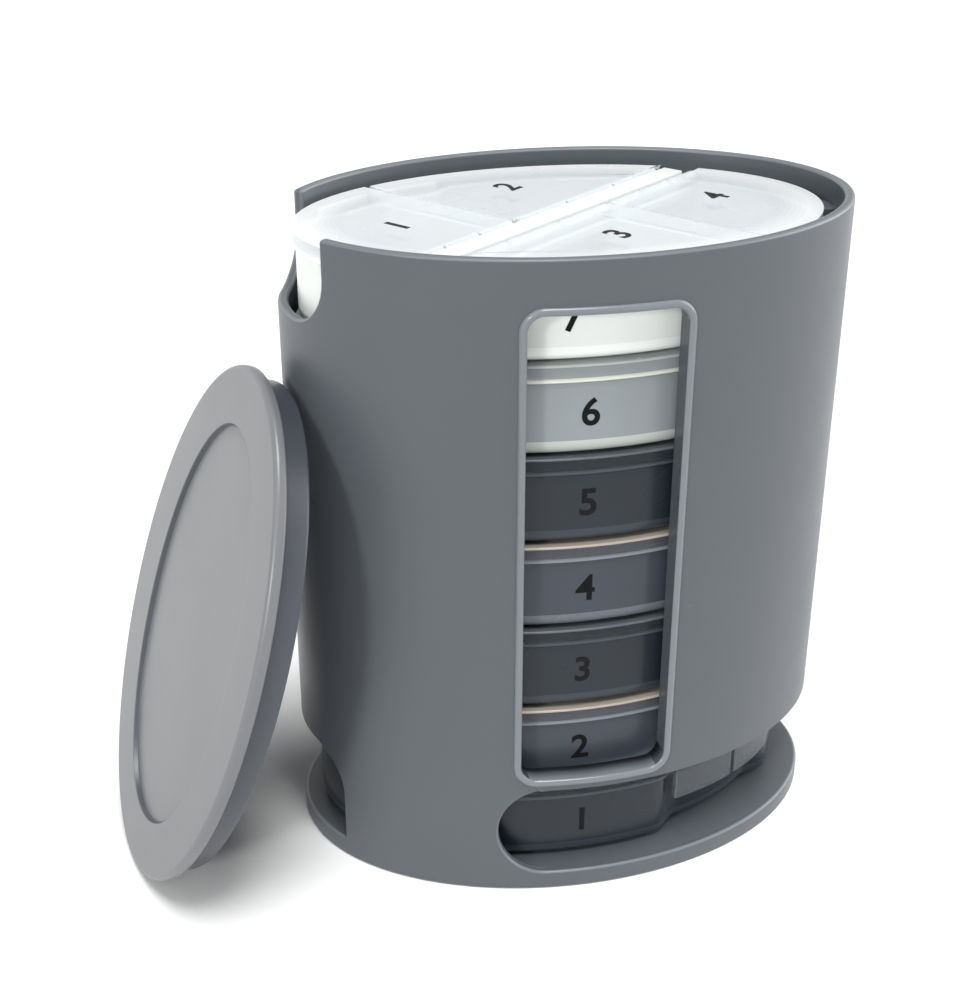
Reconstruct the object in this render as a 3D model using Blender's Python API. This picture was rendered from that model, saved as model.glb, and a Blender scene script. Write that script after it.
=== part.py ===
"""Weekly pill organizer.

An oval case stands upright and holds seven stacked oval trays, one for each day.
Each tray is parted into four compartments by a diagonal spine and two dividers,
and each compartment has its own hinged lid. The lowest tray slides out through the
slot at the foot of the case, the others lift out of its open top. The cap is off:
it stands on its narrow end and leans on the case.

Metres, +Z up. Origin: centre of the case's base. +X: towards the slot's end.
"""

import math

import bmesh
import bpy
from mathutils import Matrix, Vector
from mathutils.bvhtree import BVHTree

MM = 0.001

# Case
CASE_LONG_RADIUS = 54.0 * MM
CASE_SHORT_RADIUS = 36.8 * MM
CASE_HEIGHT = 128.8 * MM
CASE_WALL = 1.95 * MM
CASE_FLOOR = 4.0 * MM
CASE_SIDES = 64
RIM_ROUND = 0.7 * MM
FOOT_ROUND = 0.8 * MM

# Trays, which fill the case but for these clearances
TRAY_COUNT = 7
TRAY_NOTCH_CLEARANCE = 1.05 * MM
TRAY_RIB_CLEARANCE = 3.65 * MM
TRAY_SIDE_CLEARANCE = 2.45 * MM
STACK_GAP = 0.3 * MM
STACK_TOP_CLEARANCE = 2.35 * MM
TRAY_LONG_RADIUS = CASE_LONG_RADIUS - CASE_WALL - (TRAY_NOTCH_CLEARANCE + TRAY_RIB_CLEARANCE) / 2
TRAY_SHORT_RADIUS = CASE_SHORT_RADIUS - CASE_WALL - TRAY_SIDE_CLEARANCE
TRAY_SHIFT = (TRAY_NOTCH_CLEARANCE - TRAY_RIB_CLEARANCE) / 2
FIRST_TRAY_BOTTOM = CASE_FLOOR + STACK_GAP
TRAY_PITCH = (CASE_HEIGHT - STACK_TOP_CLEARANCE - FIRST_TRAY_BOTTOM) / TRAY_COUNT
TRAY_HEIGHT = TRAY_PITCH - STACK_GAP
TRAY_WALL = 1.3 * MM
TRAY_BASE = 1.3 * MM
TRAY_SETBACK = 0.7 * MM
TRAY_BOTTOM_ROUND = 2.2 * MM
TRAY_SIDES = 48

# Slot at the foot, where the lowest tray comes out
SLOT_LEFT_END = -21.2 * MM
SLOT_TOP_CLEARANCE = 2.15 * MM
SLOT_TOP = FIRST_TRAY_BOTTOM + TRAY_HEIGHT + SLOT_TOP_CLEARANCE
SLOT_CORNER_STEPS = 6

# Push hole at the foot of the other end
PUSH_HOLE_WIDTH = 32.4 * MM
PUSH_HOLE_CORNER = 9.0 * MM

# Finger notch in the rim, above the push hole
NOTCH_WIDTH = 32.4 * MM
NOTCH_DEPTH = 16.3 * MM
NOTCH_BOTTOM = CASE_HEIGHT - NOTCH_DEPTH
NOTCH_CORNER = 9.0 * MM

# Window in the front, with a raised frame
WINDOW_CENTRE = -3.05 * MM
WINDOW_WIDTH = 27.9 * MM
WINDOW_FOOT_BAR = 2.6 * MM
WINDOW_HEAD_BAR = 9.7 * MM
WINDOW_BOTTOM = SLOT_TOP + WINDOW_FOOT_BAR
WINDOW_TOP = CASE_HEIGHT - WINDOW_HEAD_BAR
WINDOW_CORNER = 3.0 * MM
FRAME_WIDTH = 1.5 * MM
FRAME_RISE = 0.6 * MM
WINDOW_GAP = 0.4 * MM

# Guide rib inside the slot's end, which keeps the stack in place
RIB_WIDTH = 6.0 * MM
RIB_ABOVE_SLOT = 2.4 * MM
RIB_BELOW_RIM = 4.8 * MM
RIB_BOTTOM = SLOT_TOP + RIB_ABOVE_SLOT
RIB_TOP = CASE_HEIGHT - RIB_BELOW_RIM

# Spine and dividers, which stand square to each other in the tray
SPINE_ANGLE = 38.0
SPINE_WALL = 1.4 * MM
SPINE_RAIL_WIDTH = 4.3 * MM
SPINE_SEAT_WIDTH = 10.6 * MM
SPINE_SEAT_DEPTH = 1.4 * MM
RAIL_END_SETBACK = 1.4 * MM
DIVIDER_OFFSET = 10.0 * MM
DIVIDER_WALL = 1.4 * MM

# Lids, each with a barrel along the spine and a finger tab over the scoop
LID_THICKNESS = 2.5 * MM
LID_EDGE_ROUND = 0.7 * MM
LID_GAP = 0.4 * MM
LID_SEAT_GAP = 0.3 * MM
LID_CORNER_CUT = 1.5 * MM
LID_ARC_STEPS = 8
BARREL_RADIUS = 1.15 * MM
BARREL_END_GAP = 0.8 * MM
BARREL_SIDES = 8
TAB_THICKNESS = 1.2 * MM
TAB_BOTTOM = 8.3 * MM
TAB_STEPS = 3

# Finger scoops in the tray's wall, centred on the dividers' ends
SCOOP_DEPTH = 3.0 * MM
SCOOP_HALF_ANGLE = 19.4
SCOOP_BLEND_ANGLE = 9.0

# Cap, whose plug fits the case's mouth
CAP_LIP_THICKNESS = 2.3 * MM
CAP_INSET = 0.9 * MM
CAP_EDGE_ROUND = 0.5 * MM
CAP_DISH_LONG_RADIUS = 42.0 * MM
CAP_DISH_SHORT_RADIUS = 24.8 * MM
CAP_DISH_DEPTH = 1.6 * MM
CAP_DISH_ROUND = 0.8 * MM
CAP_PLATE = 1.9 * MM
CAP_PLUG_DEPTH = 5.1 * MM
CAP_PLUG_WALL = 1.8 * MM
CAP_PLUG_CLEARANCE = 1.05 * MM
CAP_SIDES = 56

# How the cap stands: its lowest point, and the way it leans
CAP_FLOOR_GAP = 0.3 * MM
CAP_WALL_GAP = 0.35 * MM
CAP_ROLL = 13.1
CAP_LEAN = -72.5
CAP_TURN = -3.2
CAP_SIDE_SHIFT = -6.9 * MM

# Overrun of every cutting body past the face that it cuts
OVERRUN = 4.0 * MM

# The slot's end corners are a hair smaller than half its height
SLOT_ROUND_SHARE = 0.999

LID_PLACES = ("left", "back", "right", "front")

SPINE_DIRECTION = Vector((math.cos(math.radians(SPINE_ANGLE)), math.sin(math.radians(SPINE_ANGLE)), 0.0))
ACROSS_DIRECTION = Vector((-SPINE_DIRECTION.y, SPINE_DIRECTION.x, 0.0))

WALL_TOP = TRAY_HEIGHT - LID_THICKNESS - LID_SEAT_GAP
HINGE_HEIGHT = TRAY_HEIGHT - BARREL_RADIUS
HINGE_OFFSET = SPINE_RAIL_WIDTH / 2 + LID_SEAT_GAP + BARREL_RADIUS


# Scene and materials


def clear_scene():
    """Remove every object from the scene."""
    for item in list(bpy.data.objects):
        bpy.data.objects.remove(item, do_unlink=True)


def make_material(name, colour, roughness):
    """Return a plain plastic material."""
    material = bpy.data.materials.new(name)
    material.use_nodes = True
    shader = material.node_tree.nodes["Principled BSDF"]
    shader.inputs["Base Color"].default_value = (*colour, 1.0)
    shader.inputs["Roughness"].default_value = roughness
    shader.inputs["Metallic"].default_value = 0.0
    material.diffuse_color = (*colour, 1.0)
    return material


# Outlines


def oval(long_radius, short_radius, sides):
    """Points of an oval around the origin, anticlockwise."""
    turns = (2.0 * math.pi * i / sides for i in range(sides))
    return [Vector((long_radius * math.cos(t), short_radius * math.sin(t), 0.0)) for t in turns]


def rounded_rectangle(left, right, bottom, top, radius, corner_steps=4):
    """Points (across, up) of a rectangle with round corners, anticlockwise."""
    centres = (
        (right - radius, bottom + radius, -90.0),
        (right - radius, top - radius, 0.0),
        (left + radius, top - radius, 90.0),
        (left + radius, bottom + radius, 180.0),
    )
    points = []
    for across, up, start in centres:
        for i in range(corner_steps + 1):
            turn = math.radians(start + 90.0 * i / corner_steps)
            points.append((across + radius * math.cos(turn), up + radius * math.sin(turn)))
    return points


def lift(points, height):
    """The same outline at another height."""
    return [Vector((p.x, p.y, height)) for p in points]


# Solids


def loft(rings):
    """Closed solid through rings of equally many points, from the lowest to the highest."""
    bm = bmesh.new()
    rows = [[bm.verts.new(p) for p in ring] for ring in rings]
    for low, high in zip(rows, rows[1:]):
        for i in range(len(low)):
            j = (i + 1) % len(low)
            bm.faces.new((low[i], low[j], high[j], high[i]))
    bm.faces.new(list(reversed(rows[0])))
    bm.faces.new(rows[-1])
    bmesh.ops.recalc_face_normals(bm, faces=bm.faces)
    return bm


def prism(points, axis, start, end):
    """Extrude an outline of (across, up) points along X or Y."""
    if axis == "X":
        rings = [[Vector((depth, a, u)) for a, u in points] for depth in (start, end)]
    else:
        rings = [[Vector((a, depth, u)) for a, u in points] for depth in (start, end)]
    return loft(rings)


def box(low, high):
    """Axis-aligned block between two corners."""
    corners = [(low.x, low.y), (high.x, low.y), (high.x, high.y), (low.x, high.y)]
    return loft([[Vector((x, y, z)) for x, y in corners] for z in (low.z, high.z)])


def spine_block(half_length, low_across, high_across, bottom, top, low_along=None):
    """Block along the spine's direction, through the tray's middle."""
    low_along = -half_length if low_along is None else low_along
    corners = (
        (low_along, low_across),
        (half_length, low_across),
        (half_length, high_across),
        (low_along, high_across),
    )
    points = [SPINE_DIRECTION * a + ACROSS_DIRECTION * b for a, b in corners]
    return loft([lift(points, bottom), lift(points, top)])


def add_object(name, bm, material=None):
    """Put a solid into the scene."""
    mesh = bpy.data.meshes.new(name)
    bm.to_mesh(mesh)
    bm.free()
    item = bpy.data.objects.new(name, mesh)
    bpy.context.scene.collection.objects.link(item)
    if material is not None:
        mesh.materials.append(material)
    return item


def add_cutter(name, bm):
    """Put a helper solid into the scene, which isn't part of the object."""
    cutter = add_object(name, bm)
    cutter.display_type = "WIRE"
    cutter.hide_render = True
    return cutter


def combine(item, other, operation):
    """Boolean of an object and a helper solid."""
    modifier = item.modifiers.new(other.name, "BOOLEAN")
    modifier.operation = operation
    modifier.solver = "EXACT"
    modifier.object = other


def bake(item):
    """Replace an object and its helper solids by the mesh that they make."""
    helpers = [m.object for m in item.modifiers if m.type == "BOOLEAN"]
    graph = bpy.context.evaluated_depsgraph_get()
    mesh = bpy.data.meshes.new_from_object(item.evaluated_get(graph))
    mesh.name = item.name
    for helper in (item, *helpers):
        bpy.data.objects.remove(helper, do_unlink=True)
    bm = bmesh.new()
    bm.from_mesh(mesh)
    bmesh.ops.dissolve_limit(bm, angle_limit=math.radians(0.05), verts=bm.verts, edges=bm.edges)
    bm.to_mesh(mesh)
    bm.free()
    return mesh


def smooth(mesh, angle=35.0):
    """Shade smooth, with sharp edges kept."""
    mesh.shade_smooth()
    mesh.set_sharp_from_angle(angle=math.radians(angle))


# Case


def case_oval(inset, height):
    """The case's outline, drawn in by an inset."""
    points = oval(CASE_LONG_RADIUS - inset, CASE_SHORT_RADIUS - inset, CASE_SIDES)
    return lift(points, height)


def window_outline(margin):
    """The window's outline, grown by a margin."""
    half = WINDOW_WIDTH / 2 + margin
    return rounded_rectangle(
        WINDOW_CENTRE - half,
        WINDOW_CENTRE + half,
        WINDOW_BOTTOM - margin,
        WINDOW_TOP + margin,
        WINDOW_CORNER + margin,
    )


def frame_solid():
    """Raised frame of the window, which reaches in until it is next to the trays."""
    far = CASE_SHORT_RADIUS + OVERRUN
    near = CASE_SHORT_RADIUS / 2
    frame = add_object("window_frame", prism(window_outline(FRAME_WIDTH), "Y", -far, -near))
    skin = case_oval(-FRAME_RISE, 0.0)
    outer = add_cutter("frame_skin", loft([skin, lift(skin, CASE_HEIGHT)]))
    bore = oval(TRAY_LONG_RADIUS + WINDOW_GAP, TRAY_SHORT_RADIUS + WINDOW_GAP, CASE_SIDES)
    bore = [p + Vector((TRAY_SHIFT, 0.0, 0.0)) for p in bore]
    inner = add_cutter("frame_bore", loft([lift(bore, -OVERRUN), lift(bore, CASE_HEIGHT + OVERRUN)]))
    combine(frame, outer, "INTERSECT")
    combine(frame, inner, "DIFFERENCE")
    return bake(frame)


def build_case(material):
    """The case: tube, floor, slot, push hole, notch, window and guide rib."""
    case = add_object(
        "case",
        loft(
            [
                case_oval(FOOT_ROUND, 0.0),
                case_oval(0.0, FOOT_ROUND),
                case_oval(0.0, CASE_HEIGHT - RIM_ROUND),
                case_oval(RIM_ROUND, CASE_HEIGHT),
            ]
        ),
        material,
    )
    bore = add_cutter(
        "case_bore",
        loft(
            [
                case_oval(CASE_WALL, CASE_FLOOR),
                case_oval(CASE_WALL, CASE_HEIGHT - RIM_ROUND / 2),
                case_oval(CASE_WALL - RIM_ROUND / 2, CASE_HEIGHT),
                case_oval(CASE_WALL - RIM_ROUND / 2, CASE_HEIGHT + OVERRUN),
            ]
        ),
    )
    combine(case, bore, "DIFFERENCE")

    frame = add_cutter("window_frame", bmesh_from(frame_solid()))
    combine(case, frame, "UNION")

    rib_in = TRAY_LONG_RADIUS + TRAY_SHIFT + STACK_GAP
    rib_out = CASE_LONG_RADIUS - CASE_WALL / 2
    rib = box(Vector((rib_in, -RIB_WIDTH / 2, RIB_BOTTOM)), Vector((rib_out, RIB_WIDTH / 2, RIB_TOP)))
    combine(case, add_cutter("guide_rib", rib), "UNION")

    reach = CASE_SHORT_RADIUS + OVERRUN
    window = prism(window_outline(0.0), "Y", -reach, 0.0)
    combine(case, add_cutter("window_cut", window), "DIFFERENCE")

    slot_radius = (SLOT_TOP - CASE_FLOOR) / 2
    far_end = CASE_LONG_RADIUS + slot_radius + OVERRUN
    corner = slot_radius * SLOT_ROUND_SHARE
    slot = rounded_rectangle(SLOT_LEFT_END, far_end, CASE_FLOOR, SLOT_TOP, corner, SLOT_CORNER_STEPS)
    combine(case, add_cutter("slot_cut", prism(slot, "Y", -reach, reach)), "DIFFERENCE")

    end = CASE_LONG_RADIUS + OVERRUN
    start = CASE_LONG_RADIUS / 2
    half = PUSH_HOLE_WIDTH / 2
    hole = arch(half, CASE_FLOOR, SLOT_TOP, PUSH_HOLE_CORNER)
    combine(case, add_cutter("push_hole_cut", prism(hole, "X", -end, -start)), "DIFFERENCE")

    half = NOTCH_WIDTH / 2
    notch = arch(half, CASE_HEIGHT + OVERRUN, NOTCH_BOTTOM, NOTCH_CORNER)
    combine(case, add_cutter("notch_cut", prism(notch, "X", -end, -start)), "DIFFERENCE")

    mesh = bake(case)
    smooth(mesh)
    case = bpy.data.objects.new("case", mesh)
    bpy.context.scene.collection.objects.link(case)
    return case


def arch(half_width, flat_level, round_level, radius, steps=5):
    """Outline with square corners at one level and round ones at the other."""
    way = 1.0 if round_level > flat_level else -1.0
    points = [(-half_width, flat_level), (half_width, flat_level)]
    for side in (1.0, -1.0):
        for i in range(steps + 1):
            turn = math.radians(90.0 * (i if side > 0.0 else steps - i) / steps)
            across = side * (half_width - radius + radius * math.cos(turn))
            points.append((across, round_level - way * (radius - radius * math.sin(turn))))
    return points if way > 0.0 else list(reversed(points))


def bmesh_from(mesh):
    """Editable copy of a mesh."""
    bm = bmesh.new()
    bm.from_mesh(mesh)
    return bm


# Tray


def blend(value):
    """Smooth step from 0 to 1."""
    share = min(max(value, 0.0), 1.0)
    return share * share * (3.0 - 2.0 * share)


def rim_point(turn, inset=0.0):
    """Point of the tray's rim at an oval parameter in degrees."""
    t = math.radians(turn)
    return Vector(
        ((TRAY_LONG_RADIUS - inset) * math.cos(t), (TRAY_SHORT_RADIUS - inset) * math.sin(t), 0.0)
    )


def rim_crossing(direction, start):
    """Where a ray from a start point meets the rim: the point's oval parameter in degrees."""
    sx = start.x / TRAY_LONG_RADIUS
    sy = start.y / TRAY_SHORT_RADIUS
    dx = direction.x / TRAY_LONG_RADIUS
    dy = direction.y / TRAY_SHORT_RADIUS
    a = dx * dx + dy * dy
    b = sx * dx + sy * dy
    c = sx * sx + sy * sy - 1.0
    reach = (-b + math.sqrt(b * b - a * c)) / a
    return math.degrees(math.atan2(sy + reach * dy, sx + reach * dx))


def divider_turn():
    """Oval parameter of the outer end of the divider between the left and the back lid."""
    return rim_crossing(ACROSS_DIRECTION, SPINE_DIRECTION * -DIVIDER_OFFSET)


def scoop_inset(turn):
    """How far the tray's wall is drawn in at an oval parameter in degrees."""
    inset = 0.0
    for centre in (divider_turn(), divider_turn() + 180.0):
        away = abs((turn - centre + 180.0) % 360.0 - 180.0)
        inset += SCOOP_DEPTH * blend((SCOOP_HALF_ANGLE + SCOOP_BLEND_ANGLE / 2 - away) / SCOOP_BLEND_ANGLE)
    return inset


def wall_ring(inset, height):
    """Ring of the tray's wall, with the finger scoops."""
    points = []
    for i in range(TRAY_SIDES):
        turn = 360.0 * i / TRAY_SIDES
        points.append(rim_point(turn, TRAY_SETBACK + inset + scoop_inset(turn)))
    return lift(points, height)


def tray_mesh():
    """One tray with its four compartments, the spine's hinge seat and rail."""
    round_ = TRAY_BOTTOM_ROUND
    rest = round_ * (1.0 - math.sqrt(0.5))
    tray = add_object(
        "tray",
        loft([wall_ring(round_, 0.0), wall_ring(rest, rest), wall_ring(0.0, round_), wall_ring(0.0, WALL_TOP)]),
    )

    inner = TRAY_WALL
    cavity = add_object(
        "cavity",
        loft(
            [
                wall_ring(inner + rest, TRAY_BASE),
                wall_ring(inner, TRAY_BASE + rest),
                wall_ring(inner, TRAY_HEIGHT + OVERRUN),
            ]
        ),
    )
    half = TRAY_LONG_RADIUS + OVERRUN
    top = TRAY_HEIGHT + OVERRUN + OVERRUN
    wall = SPINE_WALL / 2
    spine = spine_block(half, -wall, wall, -OVERRUN, top)
    combine(cavity, add_cutter("spine_wall", spine), "DIFFERENCE")
    seat = SPINE_SEAT_WIDTH / 2
    seat_block = spine_block(half, -seat, seat, WALL_TOP - SPINE_SEAT_DEPTH, top)
    combine(cavity, add_cutter("spine_seat", seat_block), "DIFFERENCE")
    for side in (1.0, -1.0):
        near = -side * DIVIDER_OFFSET - DIVIDER_WALL / 2
        ends = sorted((0.0, side * half))
        block = spine_block(near + DIVIDER_WALL, ends[0], ends[1], -OVERRUN, top, near)
        combine(cavity, add_cutter("divider_wall", block), "DIFFERENCE")
    cavities = add_cutter("cavities", bmesh_from(bake(cavity)))
    combine(tray, cavities, "DIFFERENCE")

    rail_half = SPINE_RAIL_WIDTH / 2
    corners = []
    for along, across in ((1.0, -1.0), (1.0, 1.0), (-1.0, 1.0), (-1.0, -1.0)):
        start = ACROSS_DIRECTION * (across * rail_half)
        turn = rim_crossing(SPINE_DIRECTION * along, start)
        corners.append(rim_point(turn, RAIL_END_SETBACK))
    rail = loft([lift(corners, WALL_TOP - SPINE_SEAT_DEPTH / 2), lift(corners, TRAY_HEIGHT)])
    combine(tray, add_cutter("spine_rail", rail), "UNION")
    return bake(tray)


# Lids


def lid_outline(is_left, inset):
    """Outline of the left or the back lid, anticlockwise, drawn in at the rim by an inset."""
    gap = LID_GAP / 2
    divide = -DIVIDER_OFFSET - gap if is_left else -DIVIDER_OFFSET + gap
    inner_corner = SPINE_DIRECTION * divide + ACROSS_DIRECTION * HINGE_OFFSET
    divide_turn = rim_crossing(ACROSS_DIRECTION, inner_corner)
    along = SPINE_DIRECTION * (-1.0 if is_left else 1.0)
    hinge_turn = rim_crossing(along, inner_corner) % 360.0
    cut = LID_CORNER_CUT / TRAY_SHORT_RADIUS
    cut_turn = math.degrees(cut)
    first, last = (divide_turn + cut_turn, hinge_turn) if is_left else (hinge_turn, divide_turn - cut_turn)
    arc = [rim_point(first + (last - first) * i / LID_ARC_STEPS, inset) for i in range(LID_ARC_STEPS + 1)]
    cut_corner = rim_point(divide_turn, 0.0) - ACROSS_DIRECTION * (LID_CORNER_CUT + inset)
    if is_left:
        return [inner_corner, cut_corner, *arc]
    return [inner_corner, *arc, cut_corner]


def barrel(start, end):
    """Hinge barrel between two points at the hinge's height."""
    along = (end - start).normalized()
    side = Vector((-along.y, along.x, 0.0))
    rings = []
    for centre in (start, end):
        ring = []
        for i in range(BARREL_SIDES):
            turn = 2.0 * math.pi * (i + 0.5) / BARREL_SIDES
            radius = BARREL_RADIUS / math.cos(math.pi / BARREL_SIDES)
            offset = side * (radius * math.cos(turn)) + Vector((0.0, 0.0, radius * math.sin(turn)))
            ring.append(centre + offset + Vector((0.0, 0.0, HINGE_HEIGHT)))
        rings.append(ring)
    return loft(rings)


def finger_tab(is_left):
    """Tab that hangs from the lid's rim in front of the scoop."""
    gap_turn = math.degrees(LID_CORNER_CUT / TRAY_SHORT_RADIUS)
    near = divider_turn() + (gap_turn if is_left else -gap_turn)
    far = divider_turn() + (SCOOP_HALF_ANGLE if is_left else -SCOOP_HALF_ANGLE)
    turns = [near + (far - near) * i / TAB_STEPS for i in range(TAB_STEPS + 1)]
    points = [rim_point(t, 0.0) for t in turns]
    points += [rim_point(t, TAB_THICKNESS) for t in reversed(turns)]
    return loft([lift(points, TAB_BOTTOM), lift(points, TRAY_HEIGHT - LID_THICKNESS / 2)])


def lid_mesh(is_left):
    """One lid with barrel and tab, its origin on the hinge's axis."""
    low = TRAY_HEIGHT - LID_THICKNESS
    outline = lid_outline(is_left, 0.0)
    top_outline = lid_outline(is_left, LID_EDGE_ROUND)
    rings = [lift(outline, low), lift(outline, TRAY_HEIGHT - LID_EDGE_ROUND), lift(top_outline, TRAY_HEIGHT)]
    lid = add_object("lid", loft(rings))
    start = outline[0]
    end = outline[-1] if is_left else outline[1]
    along = (end - start).normalized()
    pin = barrel(start + along * (BARREL_END_GAP / 2), end - along * (TRAY_WALL + BARREL_END_GAP))
    combine(lid, add_cutter("hinge_barrel", pin), "UNION")
    combine(lid, add_cutter("finger_tab", finger_tab(is_left)), "UNION")
    mesh = bake(lid)
    mesh.transform(Matrix.Translation(-hinge_origin(is_left)))
    return mesh


def hinge_origin(is_left):
    """Point on the hinge's axis, in the tray's own frame."""
    side = -1.0 if is_left else 1.0
    along = SPINE_DIRECTION * (side * DIVIDER_OFFSET)
    return along + ACROSS_DIRECTION * HINGE_OFFSET + Vector((0.0, 0.0, HINGE_HEIGHT))


# Cap


def cap_ring(inset, height):
    """Ring of the cap's lip."""
    inset += CAP_INSET
    return lift(oval(CASE_LONG_RADIUS - inset, CASE_SHORT_RADIUS - inset, CAP_SIDES), height)


def plug_ring(inset, height):
    """Ring of the plug, which fits the case's bore."""
    inset += CASE_WALL + CAP_PLUG_CLEARANCE
    return lift(oval(CASE_LONG_RADIUS - inset, CASE_SHORT_RADIUS - inset, CAP_SIDES), height)


def dish_ring(inset, height):
    """Ring of the shallow dish in the cap's face."""
    return lift(oval(CAP_DISH_LONG_RADIUS - inset, CAP_DISH_SHORT_RADIUS - inset, CAP_SIDES), height)


def cap_mesh():
    """The cap with its face at height zero and the plug below."""
    lip = -CAP_LIP_THICKNESS
    plug = lip - CAP_PLUG_DEPTH
    cap = add_object(
        "cap",
        loft(
            [
                plug_ring(CAP_EDGE_ROUND, plug),
                plug_ring(0.0, plug + CAP_EDGE_ROUND),
                plug_ring(0.0, lip),
                cap_ring(CAP_EDGE_ROUND, lip),
                cap_ring(0.0, lip + CAP_EDGE_ROUND),
                cap_ring(0.0, -CAP_EDGE_ROUND),
                cap_ring(CAP_EDGE_ROUND, 0.0),
            ]
        ),
    )
    roof = -CAP_DISH_DEPTH - CAP_PLATE
    hollow = loft([plug_ring(CAP_PLUG_WALL, plug - OVERRUN), plug_ring(CAP_PLUG_WALL, roof)])
    combine(cap, add_cutter("cap_hollow", hollow), "DIFFERENCE")
    dish = loft(
        [
            dish_ring(CAP_DISH_ROUND, -CAP_DISH_DEPTH),
            dish_ring(0.0, 0.0),
            dish_ring(0.0, OVERRUN),
        ]
    )
    combine(cap, add_cutter("cap_dish", dish), "DIFFERENCE")
    return bake(cap)


def cap_rotation():
    """Turn of the cap: its long way nearly upright and its face turned outwards."""
    roll = Matrix.Rotation(math.radians(CAP_ROLL), 3, "X")
    lean = Matrix.Rotation(math.radians(CAP_LEAN), 3, "Y")
    turn = Matrix.Rotation(math.radians(CAP_TURN), 3, "Z")
    return turn @ lean @ roll


def free_way(points, direction, mesh):
    """Least way that points can go along a direction before they meet a mesh."""
    bm = bmesh_from(mesh)
    surface = BVHTree.FromBMesh(bm)
    hits = [surface.ray_cast(p, direction)[3] for p in points]
    bm.free()
    return min((way for way in hits if way is not None), default=None)


def place_cap(cap, case):
    """Stand the cap on the floor beside the case and move it along X until it leans on the wall."""
    cap.data.transform(cap_rotation().to_4x4())
    lowest = min(v.co.z for v in cap.data.vertices)
    start = -(CASE_LONG_RADIUS + CASE_LONG_RADIUS + CASE_SHORT_RADIUS)
    place = Vector((start, CAP_SIDE_SHIFT, CAP_FLOOR_GAP - lowest))
    cap.data.transform(Matrix.Translation(place))
    corners = [v.co.copy() for v in cap.data.vertices]
    ways = [
        free_way(corners, Vector((1.0, 0.0, 0.0)), case.data),
        free_way([v.co.copy() for v in case.data.vertices], Vector((-1.0, 0.0, 0.0)), cap.data),
    ]
    way = min(w for w in ways if w is not None) - CAP_WALL_GAP
    cap.data.transform(Matrix.Translation((way, 0.0, 0.0)))


# Object


def build_trays(case, materials):
    """The seven trays with their lids, from the lowest to the highest."""
    tray = tray_mesh()
    smooth(tray)
    lids = {is_left: lid_mesh(is_left) for is_left in (True, False)}
    for mesh in lids.values():
        smooth(mesh)
    for number in range(1, TRAY_COUNT + 1):
        body, lid_material = materials[number]
        item = bpy.data.objects.new("tray_%d" % number, tray.copy())
        item.data.materials.append(body)
        item.location = (TRAY_SHIFT, 0.0, FIRST_TRAY_BOTTOM + (number - 1) * TRAY_PITCH)
        item.parent = case
        bpy.context.scene.collection.objects.link(item)
        for place in LID_PLACES:
            is_left = place in ("left", "right")
            turned = place in ("right", "front")
            lid = bpy.data.objects.new("lid_%d_%s" % (number, place), lids[is_left].copy())
            lid.data.materials.append(lid_material)
            spin = Matrix.Rotation(math.pi if turned else 0.0, 4, "Z")
            lid.matrix_local = spin @ Matrix.Translation(hinge_origin(is_left))
            lid.parent = item
            bpy.context.scene.collection.objects.link(lid)


def main():
    """Build the whole organizer."""
    clear_scene()
    grey = make_material("case_grey", (0.13, 0.14, 0.155), 0.45)
    cap_grey = make_material("cap_grey", (0.24, 0.245, 0.25), 0.42)
    dark = make_material("tray_dark", (0.030, 0.034, 0.040), 0.42)
    middle = make_material("tray_middle", (0.085, 0.092, 0.105), 0.42)
    shade = make_material("tray_light", (0.42, 0.43, 0.44), 0.40)
    white = make_material("tray_white", (0.80, 0.82, 0.80), 0.38)
    lid_frost = make_material("lid_frost", (0.62, 0.67, 0.68), 0.30)
    lid_grey = make_material("lid_grey", (0.12, 0.13, 0.14), 0.30)
    materials = {
        1: (dark, lid_grey),
        2: (middle, lid_grey),
        3: (dark, lid_grey),
        4: (middle, lid_grey),
        5: (dark, lid_grey),
        6: (shade, lid_frost),
        7: (white, lid_frost),
    }
    case = build_case(grey)
    build_trays(case, materials)
    mesh = cap_mesh()
    mesh.materials.append(cap_grey)
    smooth(mesh)
    cap = bpy.data.objects.new("cap", mesh)
    bpy.context.scene.collection.objects.link(cap)
    place_cap(cap, case)


main()
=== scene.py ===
"""Looks of the weekly pill organizer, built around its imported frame.

An oval case of moulded polypropylene holds seven stacked trays with frosted lids, and its
cap leans on it. Every mesh is shaped in millimetres and turned to metres when it is done.
"""

import logging
import math
from dataclasses import dataclass
from enum import Enum
from functools import cache
from typing import Callable, Iterable

import bmesh
import bpy
import numpy as np
from mathutils import Matrix, Vector


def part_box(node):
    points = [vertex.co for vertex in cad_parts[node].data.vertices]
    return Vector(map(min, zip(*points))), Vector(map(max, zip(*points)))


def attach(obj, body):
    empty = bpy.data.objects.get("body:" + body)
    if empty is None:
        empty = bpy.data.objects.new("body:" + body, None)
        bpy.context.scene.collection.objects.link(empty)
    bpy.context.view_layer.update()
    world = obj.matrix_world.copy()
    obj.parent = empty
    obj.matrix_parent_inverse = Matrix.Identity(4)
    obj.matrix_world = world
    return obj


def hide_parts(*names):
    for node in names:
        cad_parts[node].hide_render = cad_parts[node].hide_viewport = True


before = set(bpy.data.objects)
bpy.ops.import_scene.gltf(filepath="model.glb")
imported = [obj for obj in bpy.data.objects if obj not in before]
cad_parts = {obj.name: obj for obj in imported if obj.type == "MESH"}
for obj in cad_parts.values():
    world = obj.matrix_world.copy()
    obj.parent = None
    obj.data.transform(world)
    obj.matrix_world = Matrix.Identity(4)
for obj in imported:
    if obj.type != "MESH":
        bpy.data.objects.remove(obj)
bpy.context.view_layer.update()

LOG = logging.getLogger("pill_organizer")

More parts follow.
